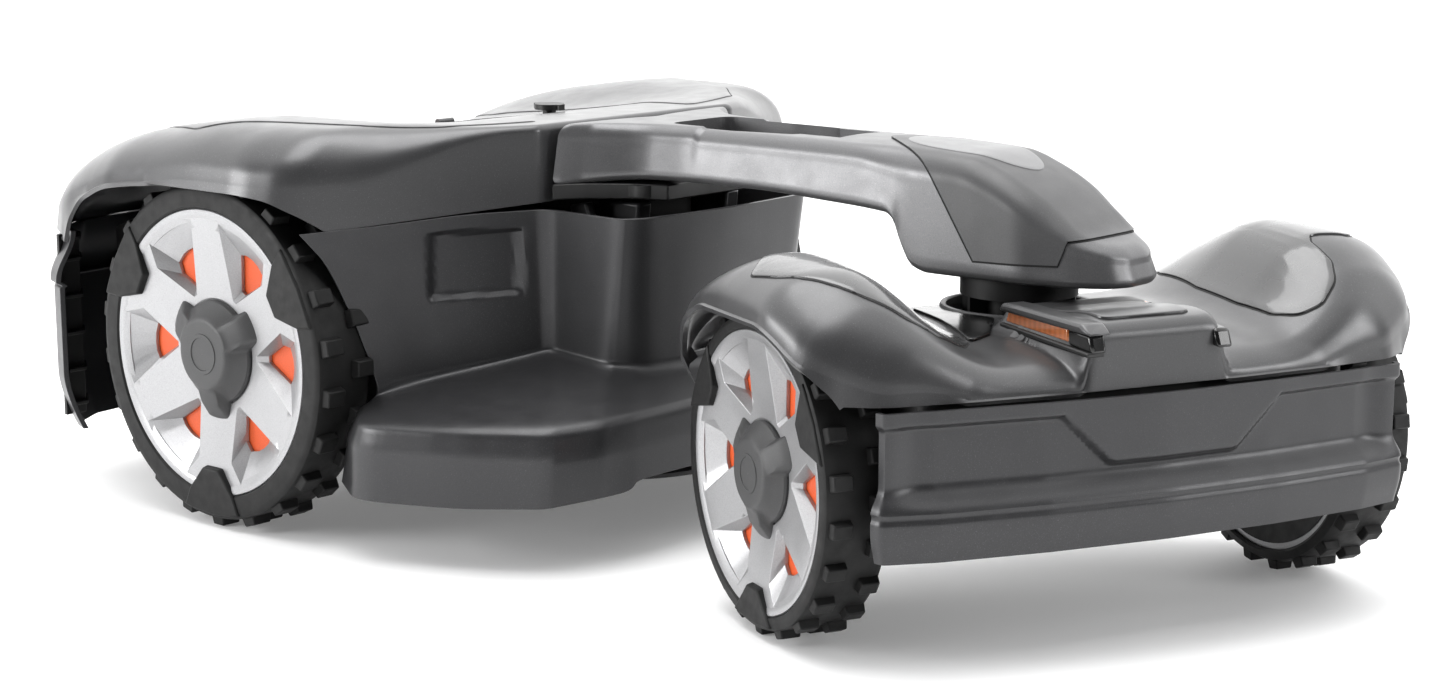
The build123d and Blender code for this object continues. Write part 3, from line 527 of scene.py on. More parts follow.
def drape(tree, flat, lift, from_above=400.0):
    """Points of a plan laid on a surface and lifted along its normal."""
    out = []
    for x, y in flat:
        spot, normal, _, _ = tree.ray_cast(Vector((x, y, from_above)), Vector((0, 0, -1)))
        if spot is None:
            near = tree.find_nearest(Vector((x, y, from_above / 2)))
            spot, normal = near[0], near[1]
        if normal.z < 0:
            normal = -normal
        out.append(spot + normal * lift)
    return out


def panel(name, tree, loop, *home, lift=0.8, depth=1.5, rim=0.6, **options):
    """A cover panel laid on a surface, with rounded rim and a skirt sunk into the surface.

    Here and below, home is the place, slot and body of the piece, and may go on with the CAD nodes it
    stands for and its material.  options go to piece().
    """
    middle = loop.mean(axis=0)
    toward = inward(loop)
    edge = loop + toward * rim
    rows = [drape(tree, loop, -depth), drape(tree, loop, lift - rim * 0.6),
            drape(tree, loop + toward * rim * 0.4, lift - rim * 0.15)]
    rows += [drape(tree, edge + (middle - edge) * share, lift) for share in np.linspace(0, 1, 14)]
    return piece(name, sum(rows, []), row_faces(len(rows), len(loop), True), *home, angle=45.0, **options)


def seam(name, tree, loop, *home, wide=1.3, lift=0.12):
    """A dark joint line on a surface, along an outline."""
    points = drape(tree, loop - inward(loop) * wide, lift) + drape(tree, loop + inward(loop) * 0.3, lift)
    return piece(name, points, row_faces(2, len(loop), True), *home, material="seam_black")


# ---------------- front body: upper shell
main_plan = both_sides([
    (330, 103, 7), (408, 262, 40), (446, 275, 60), (590, 275, 90), (664, 262, 80), (703, 240, 60),
    (729, 207, 50), (741, 148, 80), (745, 60, 80)])
deck = curve([
    (320, 284.6), (396, 282), (430, 277.5), (500, 268), (590, 256), (660, 238), (720, 214), (762, 198)])
fender = curve([
    (320, 284.6), (411, 285), (489, 285.5), (569, 277), (628, 264), (690, 237), (725, 215), (762, 197)])
arch = curve([
    (386, 150), (390, 200), (396, 217), (408, 231), (428, 240), (455, 243), (540, 243), (590, 238),
    (630, 225), (652, 207), (664, 188)])
SEAM_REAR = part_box("main_chassis")[1].z / MM + 1.0
SEAM_NOSE = 193.5
SEAM_STEP_X = 662.0
SEAM_RISE = 13.0                 # the seam climbs towards the arm
RISE_START_X, RISE_LENGTH = 400.0, 72.0
ARCH_REAR_X, ARCH_FRONT_X, ARCH_INNER_Y = 386.0, 664.0, 205.0
ARCH_KEEPS_SEAM_X = 640.0        # behind this the arch never cuts below the seam


def main_top(x, y):
    return deck(x) + (fender(x) - deck(x)) * ease(np.abs(y), 85, 195)


def main_lower(x, y):
    rise = SEAM_RISE * np.clip((RISE_START_X - x) / RISE_LENGTH, 0, 1)
    joint_line = np.where(x < SEAM_STEP_X, SEAM_REAR + rise, SEAM_NOSE)
    over_wheel = (np.abs(y) > ARCH_INNER_Y) & (x < ARCH_FRONT_X) & (x > ARCH_REAR_X)
    return np.where(over_wheel, np.maximum(arch(x), joint_line * (x < ARCH_KEEPS_SEAM_X)), joint_line)


def main_shoulder(x, y):
    side = ease(np.abs(y), 103, 250)
    nose = ease(x, 640, 735)
    rear_edge = x < 331
    width = 7 + 46 * side * (1 - 0.35 * nose) + 26 * nose * (1 - side)
    drop = 5 + 31 * side * (1 - 0.5 * nose) + 5 * nose
    return np.where(rear_edge, 6.0, width), np.where(rear_edge, 5.0, drop)


main_loop = rounded_loop(main_plan, 60, 560)
upper = Crown(main_loop, (470, 640), main_top, main_lower, main_shoulder, draft=1.5)
upper_tree = upper.tree()


def main_local(corner):
    return (corner - STEER) / MM


hatch_low, hatch_high = (main_local(corner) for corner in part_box("hatch"))
hatch_mid = (hatch_low + hatch_high) / 2
hatch_half = (hatch_high.x - hatch_low.x) / 2
button_low, button_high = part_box("stop_button")
button_mid = (main_local(button_low) + main_local(button_high)) / 2
button_r = (button_high.x - button_low.x) / 2 / MM


def box_loop(x_low, x_high, half_wide, radius, count):
    """Rounded rectangle, centred across."""
    return rounded_loop([(x_low, -half_wide), (x_low, half_wide), (x_high, half_wide), (x_high, -half_wide)],
                        radius, count)


def circle_loop(x, y, radius, count=64):
    turn = np.linspace(0, 2 * math.pi, count, endpoint=False)
    return np.stack([x + radius * np.cos(turn), y + radius * np.sin(turn)], axis=1)


shell = piece("upper_shell_skin", upper.points, upper.faces, MAIN, "shell_graphite", "main",
              ("upper_shell",), thick=SKIN, outward=(520, 0, 150), angle=38.0)
hatch_gap = hatch_half + 1.2
carve(shell, [prism_mesh(box_loop(hatch_mid.x - hatch_gap, hatch_mid.x + hatch_gap, hatch_gap, 9, 96),
                         225, 300, MAIN),
              prism_mesh(circle_loop(button_mid.x, 0, button_r + 1.0), 215, 290, MAIN)], angle=38.0)
edge_bevel(shell, 0.5, 2, 40.0)
insert_loop = rounded_loop([
    (352, 80, 6), (372, 150, 30), (412, 190, 30), (470, 214, 40), (525, 244, 8), (560, 232, 30),
    (640, 196, 30), (662, 150, 20), (600, 118, 60), (470, 96, 60)], 20, 200)
SIDES = (("left", 1), ("right", -1))
for side, mirror in SIDES:
    loop = insert_loop * (1, mirror)
    seam(f"fender_seam_{side}", upper_tree, loop, MAIN, "gloss_trim", "main")
    panel(f"fender_insert_{side}", upper_tree, loop, MAIN, "gloss_trim", "main", lift=0.7,
          stands_for=("fender_inserts",), material="shell_graphite")


# ---------------- front body: walls, skirt and floor
def dense(grid, step=3.5):
    """Insert straight rows and columns wherever a grid is coarse."""
    for axis in (0, 1):
        lines = np.moveaxis(grid, axis, 0)
        out = [lines[0]]
        for before, after in zip(lines[:-1], lines[1:]):
            parts = max(1, math.ceil(np.linalg.norm(after - before, axis=-1).max() / step))
            out += [before + (after - before) * t for t in np.linspace(0, 1, parts + 1)[1:]]
        grid = np.moveaxis(np.array(out), 0, axis)
    return grid


def grid_piece(name, grid, *home, **options):
    return piece(name, grid.reshape(-1, 3), row_faces(*grid.shape[:2], False), *home, **options)


def block(name, loop, low, high, *home, bevel=0.6, cuts=(), draft=0.0):
    """Closed straight solid over an outline, with softened edges; draft draws its top in."""
    top = np.array(loop) + (inward(np.array(loop)) * draft if draft else 0)
    points = [(x, y, low) for x, y in loop] + [(x, y, high) for x, y in top]
    thing = piece(name, points, closed_faces(len(loop)), *home)
    if cuts:
        carve(thing, cuts)
    edge_bevel(thing, bevel)
    return thing


def side_block(name, outline, y_low, y_high, *home, bevel=0.6):
    """Closed solid with a side outline (x, z)."""
    points = side_points(outline, y_low, y_high)
    return piece(name, points, closed_faces(len(outline)), *home, bevel=bevel)


def fence(name, line, *home, inside):
    """Upright wall along a line of (x, y, low, high), grown towards a point inside."""
    grid = np.array([[(x, y, low) for x, y, low, _ in line], [(x, y, high) for x, y, _, high in line]], float)
    return grid_piece(name, dense(grid, 12.0), *home, thick=SKIN, outward=inside)


def mix(start, end, share):
    return tuple(a + (b - a) * share for a, b in zip(start, end))


def wall_station(top, foot, crease, side, bottom):
    """Control points of one upright section, from the seam down to the lower edge."""
    return [top, mix(top, foot, 0.28), mix(top, foot, 0.62), mix(top, foot, 0.89), foot,
            mix(foot, crease, 0.5), crease, side, mix(side, bottom, 0.3), mix(side, bottom, 0.7), bottom]


stations = [
    [(404, 256, 218), (396, 240, 197), (388, 223, 155), (384, 213, 124), (382, 208, 107), (384, 215, 101),
     (386, 223, 97), (391, 230, 82), (392, 231, 70), (393, 232, 58), (394, 234, 46)],
    wall_station((378, 204, 221), (366, 172, 111), (352, 256, 97), (353, 260, 80), (354, 258, 44)),
    wall_station((352, 152, 225.5), (345, 134, 117), (283, 231, 99), (283, 235, 80), (285, 230, 44)),
    wall_station((326, 100, 226), (326, 98, 124), (231, 198, 100), (229, 202, 80), (234, 198, 46)),
    wall_station((258, 99, 225), (272, 97, 120), (218, 162, 100), (215, 165, 80), (222, 161, 48)),
    wall_station((249, 88, 225), (260, 82, 119), (216, 134, 100), (214, 134, 80), (217, 134, 49)),
    wall_station((247, 78, 225), (256, 70, 118), (216, 128, 100), (214, 128, 80), (216, 128, 56)),
    wall_station((244, 40, 225), (251, 36, 118), (216, 60, 100), (214, 60, 80), (216, 60, 56)),
]
middle_station = wall_station((242, 0, 225), (250, 0, 118), (216, 0, 100), (214, 0, 80), (216, 0, 56))
mirrored = [[(x, -y, z) for x, y, z in station] for station in reversed(stations)]
net = np.array(stations + [middle_station] + mirrored, float).swapaxes(0, 1)
ALONG = [0.3, 0.3, 0.3, 0.16, 0.2, 0.45, 0.3, 0.45]
DOWN = [0.3, 0.3, 0.3, 0.3, 0.45, 0.45, 0.28, 0.3, 0.12, 0.3, 0.3]
POCKET_DEPTH = 4.5
body_side = dense(rounded_net(net, ALONG + [0.45] + ALONG[::-1], DOWN, 7))
WALL_RUN = np.array((78.0, 156.0)) / math.hypot(78.0, 156.0)
WALL_START = np.array((326.0, 100.0))
across = np.abs(body_side[..., 1])
along_wall = (body_side[..., 0] - WALL_START[0]) * WALL_RUN[0] + (across - WALL_START[1]) * WALL_RUN[1]
level = body_side[..., 2]
in_pocket = (ease(along_wall, 16, 23) * (1 - ease(along_wall, 80, 87)) * ease(level, 165, 172)
             * (1 - ease(level, 211, 215)) * (across > 101))
facing = np.sign(body_side[..., 1])
body_side[..., 0] += in_pocket * POCKET_DEPTH * WALL_RUN[1]
body_side[..., 1] -= in_pocket * POCKET_DEPTH * WALL_RUN[0] * facing
CHASSIS = (MAIN, "chassis_graphite", "main")
CHASSIS_NODE = ("main_chassis",)
grid_piece("body_side_skin", body_side, *CHASSIS, CHASSIS_NODE, thick=SKIN, outward=(520, 0, 130), bevel=0.5)

well_half = [
    (386, 206, 47, 217), (388, 203, 47, 217), (640, 203, 47, 217), (664, 196, 47, 200), (700, 188, 47, 188),
    (718, 120, 47, 188), (724, 0, 47, 188)]
well_line = well_half + [(x, -y, low, high) for x, y, low, high in reversed(well_half) if y]
DARK_CHASSIS = (*CHASSIS, CHASSIS_NODE, "black_plastic")
fence("wheel_well_walls", well_line, *DARK_CHASSIS, inside=(520, 0, 120))
floor_loop = both_sides([
    (250, 0), (256, 60), (274, 94), (326, 95), (345, 131), (366, 170), (384, 202), (640, 202), (698, 188),
    (716, 120)])
FLOOR_HOLE_X, FLOOR_HOLE_R = 345.0, 46.0
floor_hole = prism_mesh(circle_loop(FLOOR_HOLE_X, 0, FLOOR_HOLE_R), 90, 120, MAIN)
block("deck_floor", floor_loop, 100, 104, *DARK_CHASSIS, cuts=[floor_hole])
tray_loop = both_sides([(463, 0), (463, 201), (640, 201), (696, 186), (716, 120), (722, 60)])
block("belly_tray", tray_loop, 46, 49.5, *DARK_CHASSIS)
fence("belly_bulkhead", [(463, 201, 47, 101), (463, -201, 47, 101)], *DARK_CHASSIS, inside=(300, 0, 70))
for side, flip in SIDES:
    side_block(f"tub_strut_{side}", [(296, 104), (330, 104), (320, 229), (282, 229)],
               *sorted((40 * flip, 54 * flip)), *CHASSIS, bevel=2.0)
    side_block(f"tub_brace_{side}", [(268, 104), (286, 104), (330, 226), (314, 229)],
               *sorted((66 * flip, 74 * flip)), *CHASSIS, bevel=1.5)
block("tub_box", box_loop(308, 352, 34, 6, 60), 104, 226, *CHASSIS, (), "black_plastic", bevel=2.0)

# ---------------- arm over the rear body
arm_plan = both_sides([
    (-93, 12, 20), (-86, 27, 20), (-66, 40, 34), (-30, 49, 60), (53, 50, 90), (150, 46, 120),
    (240, 46, 120), (284, 56, 60), (313, 78, 4), (327, 99, 3)])
arm_top = curve([
    (-96, 224), (-86, 228), (-66, 236), (-51, 247), (-33, 260), (-7, 273), (17, 280.5), (60, 283),
    (94, 284), (330, 284)])
arm_low = curve([
    (-96, 205), (38, 205), (50, 208), (59, 221), (66, 236), (74, 241), (130, 244), (193, 246), (270, 246),
    (330, 242)])
CAP_SIDE = [(120, 300), (120, 214), (-56, 219), (-60, 234), (-110, 242), (-110, 300)]
CAP_PLAN = both_sides([(-130, 80), (22, 80), (37, 50), (46, 42), (62, 31), (78, 18), (90, 8), (96, 0)])


def arm_height(x, y):
    return arm_top(x) - 3.0 * (np.abs(y) / 50.0) ** 2 * (x < 240)


def arm_shoulder(x, y):
    head = 1 - ease(x, 60, 110)
    nose = 1 - ease(x, -85, -30)
    return 11 + 5 * head - 6 * nose, 11 + 5 * head - 10 * nose


def arm_cover(grow):
    """The arm's cover, or a slightly larger copy of it for what lies on the arm."""
    loop = rounded_loop(arm_plan, 40, 420)
    return Crown(loop, (-45, 300), arm_height, lambda x, y: arm_low(x), arm_shoulder, draft=4.0, grow=grow,
                 floor=5.0)


arm = arm_cover(0.0)
arm_body = piece("arm_skin", arm.points, arm.faces, MAIN, "arm_grey", "main", ("arm_shell",), angle=38.0)
handle = rounded_loop([(162, -25), (162, 25), (215, 32), (274, 32), (274, -32), (215, -32)], 12, 100)
carve(arm_body, [prism_mesh(handle, 200, 320, MAIN),
                 side_prism([(130, 292), (130, 283.5), (172, 262), (172, 292)], -22, 22, MAIN)], angle=38.0)
edge_bevel(arm_body, 1.6, 3, 38.0)


def cap_cutters(margin):
    """Space of the cap: a leaning prism over its plan, and its side outline with the notch at the tail."""
    points = [(x + lean + margin, y, z) for z, lean in ((214, -38), (274, 0), (300, 17)) for x, y in CAP_PLAN]
    return [mesh_of("cutter", points, closed_faces(len(CAP_PLAN), 3), MAIN),
            side_prism([(x, z - margin) for x, z in CAP_SIDE], -130, 130, MAIN)]


for name, grow, margin, material in (("arm_cap_seam", 0.35, 1.3, "seam_black"),
                                     ("arm_cap_cover", 1.1, 0.0, "cap_dark")):
    layer = arm_cover(grow)
    cover = piece(name, layer.points, layer.faces, MAIN, "cap_dark", "main", ("arm_cap",), material=material,
                  angle=38.0)
    carve(cover, cap_cutters(margin), "INTERSECT", 38.0)
    if material == "cap_dark":
        edge_bevel(cover, 0.6, 2, 38.0)
plate = circle_loop(0, 0, 1.0, 90) * (50, 27) + (36, 0)
panel("arm_badge", arm_cover(1.1).tree(), plate, MAIN, "cap_dark", "main", lift=0.5, depth=1.0,
      material="badge_grey")
flange_loop = both_sides([(262, 46), (284, 55), (311, 76), (325, 96)])
block("arm_flange", flange_loop, 232, 243, MAIN, "black_plastic", "main", bevel=1.0)


# ---------------- rear body: shell, inserts, lamps
rear_plan = both_sides([
    (-160, 60, 60), (-157, 120, 60), (-150, 178, 40), (-124, 218, 40), (-86, 226, 60), (24, 226, 50),
    (58, 214, 40), (78, 160, 60), (86, 70, 60)])
rear_deck = curve([(-176, 166), (-120, 178), (-40, 182), (30, 180), (70, 172), (92, 160)])
rear_fender = curve([
    (-176, 172), (-150, 192), (-120, 214), (-78, 229), (-30, 231), (10, 218), (42, 196), (66, 170),
    (92, 156)])
rear_arch = curve([
    (-141, 146), (-132, 168), (-112, 186), (-76, 200), (-6, 200), (30, 184), (46, 166), (52, 151)])
REAR_SEAM = 160.0
REAR_ARCH_BACK_X, REAR_ARCH_FRONT_X, REAR_ARCH_INNER_Y = -141.0, 52.0, 198.0
HUMP_HALF = 44.0
HUMP_RISE, HUMP_TAIL_RISE = 14.5, 12.0
STEER_HOLE_R = 47.0


def rear_top(x, y):
    side = np.abs(y)
    height = rear_deck(x) + np.maximum(rear_fender(x) - rear_deck(x), 0) * ease(side, 82, 178)
    hump = ease(-x, 52, 64) * (1 - ease(side, HUMP_HALF - 3, HUMP_HALF + 11))
    return height + HUMP_RISE * hump + HUMP_TAIL_RISE * hump * ease(-x, 70, 165)


def rear_lower(x, y):
    over_wheel = (np.abs(y) > REAR_ARCH_INNER_Y) & (x > REAR_ARCH_BACK_X) & (x < REAR_ARCH_FRONT_X)
    return np.where(over_wheel, rear_arch(x), REAR_SEAM)


def rear_shoulder(x, y):
    side = ease(np.abs(y), 120, 205)
    tail = ease(-x, 100, 150)
    hump = tail * (1 - ease(np.abs(y), HUMP_HALF - 14, HUMP_HALF + 34))
    width = 14 + 30 * side * (1 - 0.3 * tail) + 12 * tail * (1 - side) - 17 * hump
    drop = 10 + 24 * side * (1 - 0.3 * tail) + 7 * tail * (1 - side) - 9 * hump
    return width, drop


rear_loop = rounded_loop(rear_plan, 50, 560)
rear_cover = Crown(rear_loop, (-70, 20), rear_top, rear_lower, rear_shoulder, draft=2.0)
rear_tree = rear_cover.tree()
rear_skin = piece("rear_shell_skin", rear_cover.points, rear_cover.faces, REAR, "shell_graphite", "rear",
                  ("rear_shell",), thick=SKIN, outward=(-40, 0, 100), angle=38.0)
carve(rear_skin, [prism_mesh(circle_loop(0, 0, STEER_HOLE_R), 140, 260, REAR)], angle=38.0)
edge_bevel(rear_skin, 0.5, 2, 40.0)


def revolved(name, profile, *home, count=96):
    """Body of revolution about the local z axis; profile is a closed list of (radius, z)."""
    turn = np.linspace(0, 2 * math.pi, count, endpoint=False)
    points = [(r * math.cos(t), r * math.sin(t), z) for r, z in profile for t in turn]
    last = (len(profile) - 1) * count
    faces = row_faces(len(profile), count, True)
    faces += [(last + k, last + (k + 1) % count, (k + 1) % count, k) for k in range(count)]
    return piece(name, points, faces, *home)


def rear_panel(name, seam_name, loop, slot, node_name, seam_wide, lift):
    """A cover panel on the rear shell and the dark seam around it."""
    seam(seam_name, rear_tree, loop, REAR, slot, "rear", wide=seam_wide)
    panel(name, rear_tree, loop, REAR, slot, "rear", lift=lift, stands_for=(node_name,))


revolved("steering_collar", [
    (STEER_HOLE_R, 174), (STEER_HOLE_R, 183.5), (47.8, 184.3), (50.2, 184.3), (51, 183), (51.4, 178),
    (51.4, 174)], REAR, "cap_dark", "rear", ("rear_shell", ))
left_insert = rounded_loop([
    (-16, 186, 4), (-44, 211, 6), (-68, 205, 20), (-84, 197, 20), (-98, 185, 20), (-113, 171, 20),
    (-127, 152, 16), (-128, 130, 16), (-108, 102, 16), (-92, 90, 3), (-60, 88, 20), (-8, 78, 30),
    (38, 104, 20), (26, 160, 20)], 20, 220)
rear_panel("rear_insert_left", "rear_insert_seam_left", left_insert, "gloss_trim", "rear_inserts", 1.1, 1.2)
dark_tip = rounded_loop([
    (-91, 88, 4), (-77, 66, 4), (-38, 40, 8), (-14, 47, 8), (24, 44, 3), (22, 66, 4), (-30, 74, 10)], 6,
    110)
panel("rear_gloss_strip", rear_tree, dark_tip, REAR, "gloss_trim", "rear", lift=1.9, material="gloss_black")
right_insert = rounded_loop([
    (-88, -161, 3), (-111, -160, 10), (-126, -152, 14), (-134, -137, 12), (-130, -122, 14),
    (-114, -114, 16), (-83, -111, 30), (-35, -113, 40), (20, -122, 30), (60, -140, 12), (52, -178, 12),
    (10, -205, 30), (-40, -209, 30), (-84, -198, 8), (-80, -166, 4)], 20, 220)
rear_panel("rear_insert_right", "rear_insert_seam_right", right_insert, "gloss_trim", "rear_inserts",
           1.3, 1.2)
rear_panel("rear_lid_cover", "rear_lid_seam", box_loop(-146, -86, 31, 7, 120), "shell_graphite", "rear_lid",
           1.0, 1.6)

# name, side outline, low and high y, slot, replaced node, material, bevel
TAIL_LENS = (
    ("left_bar", [(-138, 186), (-66, 186.5), (-69, 193.5), (-136, 194)], 40, 49,
     "lens_amber", ("tail_lens",), None, 1.0),
    ("left_roof", [(-166, 194), (-62, 193), (-66, 198.5), (-84, 199.5), (-156, 200)], 36, 52.5,
     "shell_graphite", (), None, 2.2),
    ("left_end", [(-165, 183), (-138.5, 184.2), (-137.5, 194.5), (-162, 194.0)], 39, 49.6,
     "gloss_trim", ("tail_lens",), "gloss_black", 2.0),
    ("left_lip", [(-164, 181), (-64, 182), (-64, 186), (-164, 184)], 40, 52,
     "black_plastic", ("tail_lens",), None, 1.0),
    ("right_bar", [(-138, 181), (-66, 184), (-69, 194), (-136, 191.5)], -49, -40,
     "lens_amber", ("tail_lens",), None, 2.0),
    ("right_end", [(-165, 180), (-138.5, 181.2), (-137.5, 192.5), (-160, 191.0)], -49.6, -39,
     "gloss_trim", ("tail_lens",), "gloss_black", 2.0),
)
for part, outline, low_y, high_y, slot, stands_for, material, bevel in TAIL_LENS:
    side_block("tail_lens_" + part, outline, low_y, high_y, REAR, slot, "rear", stands_for, material,
               bevel=bevel)


# ---------------- bumpers
def bumper_shell(name, half_outline, levels, push, wall, place):
    """Bumper between two faces: each level is the outline pushed out or in by push(y, z), less the wall."""
    line, normal = open_line(half_outline, 240)
    sides = []
    for less in (0.0, wall):
        for z in levels:
            level = np.full(len(line), float(z))
            out = push(line[:, 1], level) - less
            sides.append(np.column_stack([line + normal * out[:, None], level]))
    rows, columns = len(levels), len(line)
    half = rows * columns
    faces = row_faces(rows, columns, False)
    faces += [tuple(half + i for i in reversed(face)) for face in faces]
    rim = ([c for c in range(columns)] + [r * columns + columns - 1 for r in range(1, rows)]
           + [(rows - 1) * columns + c for c in range(columns - 2, -1, -1)]
           + [r * columns for r in range(rows - 2, 0, -1)])
    faces += [(a, b, half + b, half + a) for a, b in zip(rim, rim[1:] + rim[:1])]
    return piece(name + "_skin", np.concatenate(sides), faces, place, "chassis_graphite", name, (name,))


def rear_push(y, z):
    trapezoid = 1 - ease(np.abs(y + 8) - (46 + np.maximum(z - 119, 0) * 40 / 37), -5, 5)
    plateau = np.maximum(ease(z, 146, 151), trapezoid * ease(z, 115, 121))
    waist = (12.5 - 5.5 * plateau) * (1 - 0.5 * ease(np.abs(y), 155, 184))
    out = -waist * ease(z, 96.5, 116)
    return out - 4.0 * ease(96 - z, 0, 34) ** 1.5 - 1.2 * ease(z, 93, 97) * (1 - ease(z, 97, 100))


rear_levels = np.concatenate([np.linspace(70, 90, 12), np.linspace(91.5, 122, 24), np.linspace(124, 144, 9),
                              np.linspace(145, 152, 8), np.linspace(154, 157.8, 3)])
rear_outline = [(-151.5, 186.5, 4), (-160, 184, 12), (-168, 150, 30), (-175, 80, 90), (-178, 0, 200)]
edge_bevel(bumper_shell("rear_bumper", rear_outline, rear_levels, rear_push, 3.0, REAR), 1.0)


def front_push(y, z):
    flare = -13.0 * ease(z, 154, 196) ** 0.8
    groove = -3.0 * ease(z, 149, 151.5) * (1 - ease(z, 151.5, 154))
    lower = -2.5 * (1 - ease(z, 150, 153)) - 13.0 * np.clip((84 - z) / 43, 0, 1) ** 1.6
    return flare + groove + lower


front_levels = np.concatenate([np.linspace(41, 86, 16), np.linspace(92, 146, 8), np.linspace(148, 156, 13),
                               np.linspace(159, 189, 12), [190.5, 192.2]])
front_outline = [
    (690, 251, 6), (706, 245, 20), (724, 231, 20), (742, 203, 30), (751, 140, 60), (755, 0, 200)]
front_skin = bumper_shell("front_bumper", front_outline, front_levels, front_push, 4.0, MAIN)
lamp_low, lamp_high = (main_local(corner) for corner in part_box("front_lights"))
LAMP_WIDE = 60.0
lamp_y = (abs(lamp_high.y) * 2 - LAMP_WIDE) / 2
lamp_z = (lamp_low.z + lamp_high.z) / 2
lamp_hole = box_loop(-33, 33, 14.5, 7, 60)
lamp_cutters = []
for _, flip in SIDES:
    points = [(x, flip * lamp_y + u, lamp_z + v) for x in (700, 780) for u, v in lamp_hole]
    lamp_cutters.append(mesh_of("cutter", points, closed_faces(len(lamp_hole)), MAIN))
carve(front_skin, lamp_cutters)
edge_bevel(front_skin, 1.0)
INSIDE_BUMPER = (MAIN, "chassis_graphite", "front_bumper", (), "black_plastic")
for side, flip in SIDES:
    rib = [(x, y * flip) for x, y in ((692, 226), (692, 241), (712, 233), (722, 218), (712, 212))][::flip]
    for number, z in enumerate((58, 84, 112, 140, 168, 184)):
        block(f"bumper_rib_{side}_{number}", rib, z, z + 2.5, *INSIDE_BUMPER, bevel=0.4)
    side_block(f"bumper_web_{side}", [(700, 50), (703, 50), (703, 188), (700, 188)],
               *sorted((222 * flip, 240 * flip)), *INSIDE_BUMPER, bevel=0.4)

# ---------------- wheels
LOBES = (-90.0, 30.0, 150.0)
FRONT_RIM_R = 101.5
RIM_HUB_R = 38.0
RIM_FACE_R = FRONT_RIM_R - 2.0
LUG_COUNT = 22
LUG_FACES = ((0, 1, 3, 2), (4, 6, 7, 5), (2, 3, 7, 6), (0, 2, 6, 4), (1, 5, 7, 3), (0, 4, 5, 1))
# scale of the rim against the front rim, tyre width and tyre radius
WHEEL_SIZES = {"front": (1.0, 50.0, 125.0), "rear": (87.2 / FRONT_RIM_R, 46.0, 101.6)}


def turned(r, degrees):
    return (r * math.cos(math.radians(degrees)), r * math.sin(math.radians(degrees)))


def stepped(corners, counts):
    """Points along straight runs between polar corners; the run after each corner gets its count of steps."""
    spots = [np.array(turned(*corner)) for corner in corners]
    out = []
    for k, count in enumerate(counts):
        start, end = spots[k], spots[(k + 1) % len(spots)]
        out += [start + (end - start) * t for t in np.linspace(0, 1, count, endpoint=False)]
    return np.array(out)


def pocket_loops(centre, sign):
    """Rim pocket: outline on the spoke face and window at the bottom, with matching points."""
    top = [(43, -2.5), (43, 2.5), (79, 17), (95, 11.5), (96, 3), (96, -6), (96, -14), (94, -21)]
    low = [(50, -2.5), (50, 2.5), (66, 10.5), (74, 8.5), (76, 2.5), (76.5, -2.5), (76, -7.5), (74, -11.5)]
    counts = (3, 6, 3, 3, 3, 3, 3, 8)
    return tuple(stepped([(r, centre + sign * a) for r, a in loop], counts) for loop in (top, low))


def on_spoke(x, y):
    """A point of the spoke face, which is a cone up to its flat outer ring."""
    r = math.hypot(x, y)
    return x, y, (-10 + (r - 39) / 55 * 7.5 if r < 94 else -2.5)


def wheel_place(wheel, scale):
    joint = joints[wheel + "_spin"]
    axis = Vector(joint["axis"]).normalized()
    outward = axis if axis.y * (1 if "left" in wheel else -1) > 0 else -axis
    hub = Vector(joint["pos_m"])
    rim = frame["nodes"][wheel + "_rim"]
    reach = max((rim.matrix_world @ v.co - hub).dot(outward) for v in rim.data.vertices)
    up = Vector((0, 0, 1))
    right = up.cross(outward)
    turn = Matrix((right, up, outward)).transposed().to_4x4()
    return Matrix.Translation(hub + outward * reach) @ turn @ Matrix.Scale(scale * MM, 4)


def rim_face(name, place, body, node):
    """Spoked face: a conical plate with six pockets whose walls fall to open windows."""
    loops = [pocket_loops(60.0 * k, 1 if k % 2 == 0 else -1) for k in range(6)]
    inner = circle_loop(0, 0, RIM_HUB_R, 72)
    outer = circle_loop(0, 0, RIM_FACE_R, 144)
    flats, edges = [], []
    for loop in [inner, outer] + [top for top, _ in loops]:
        start = len(flats)
        flats += [Vector(p) for p in loop]
        edges += [(start + k, start + (k + 1) % len(loop)) for k in range(len(loop))]
    for r in (50, 62, 76, 88, 97):
        flats += [Vector(p) for p in circle_loop(0, 0, r, 90)]
    spots, _, triangles, *_ = delaunay_2d_cdt(flats, edges, [], 0, 1e-5)
    spots = np.array([tuple(s) for s in spots])

    def inside(point, loop):
        x, y = point
        a, b = loop, np.roll(loop, -1, axis=0)
        rise = np.where(b[:, 1] == a[:, 1], 1e-9, b[:, 1] - a[:, 1])
        meets = (b[:, 0] - a[:, 0]) * (y - a[:, 1]) / rise + a[:, 0]
        return (((a[:, 1] > y) != (b[:, 1] > y)) & (x < meets)).sum() % 2 == 1

    faces = []
    for triangle in triangles:
        middle = spots[list(triangle)].mean(axis=0)
        r = np.linalg.norm(middle)
        if RIM_HUB_R < r < RIM_FACE_R and not any(inside(middle, top) for top, _ in loops):
            faces.append(tuple(triangle))
    points = [on_spoke(x, y) for x, y in spots]
    for top, low in loops:
        start = len(points)
        points += [on_spoke(x, y) for x, y in top] + [(x, y, z) for z in (-15.0, -17.5) for x, y in low]
        faces += [tuple(start + i for i in face) for face in row_faces(3, len(top), True)]
    thing = piece(name, points, faces, place, "rim_silver", body, (node,), angle=24.0)
    edge_bevel(thing, 0.9, 3, 24.0)
    return thing


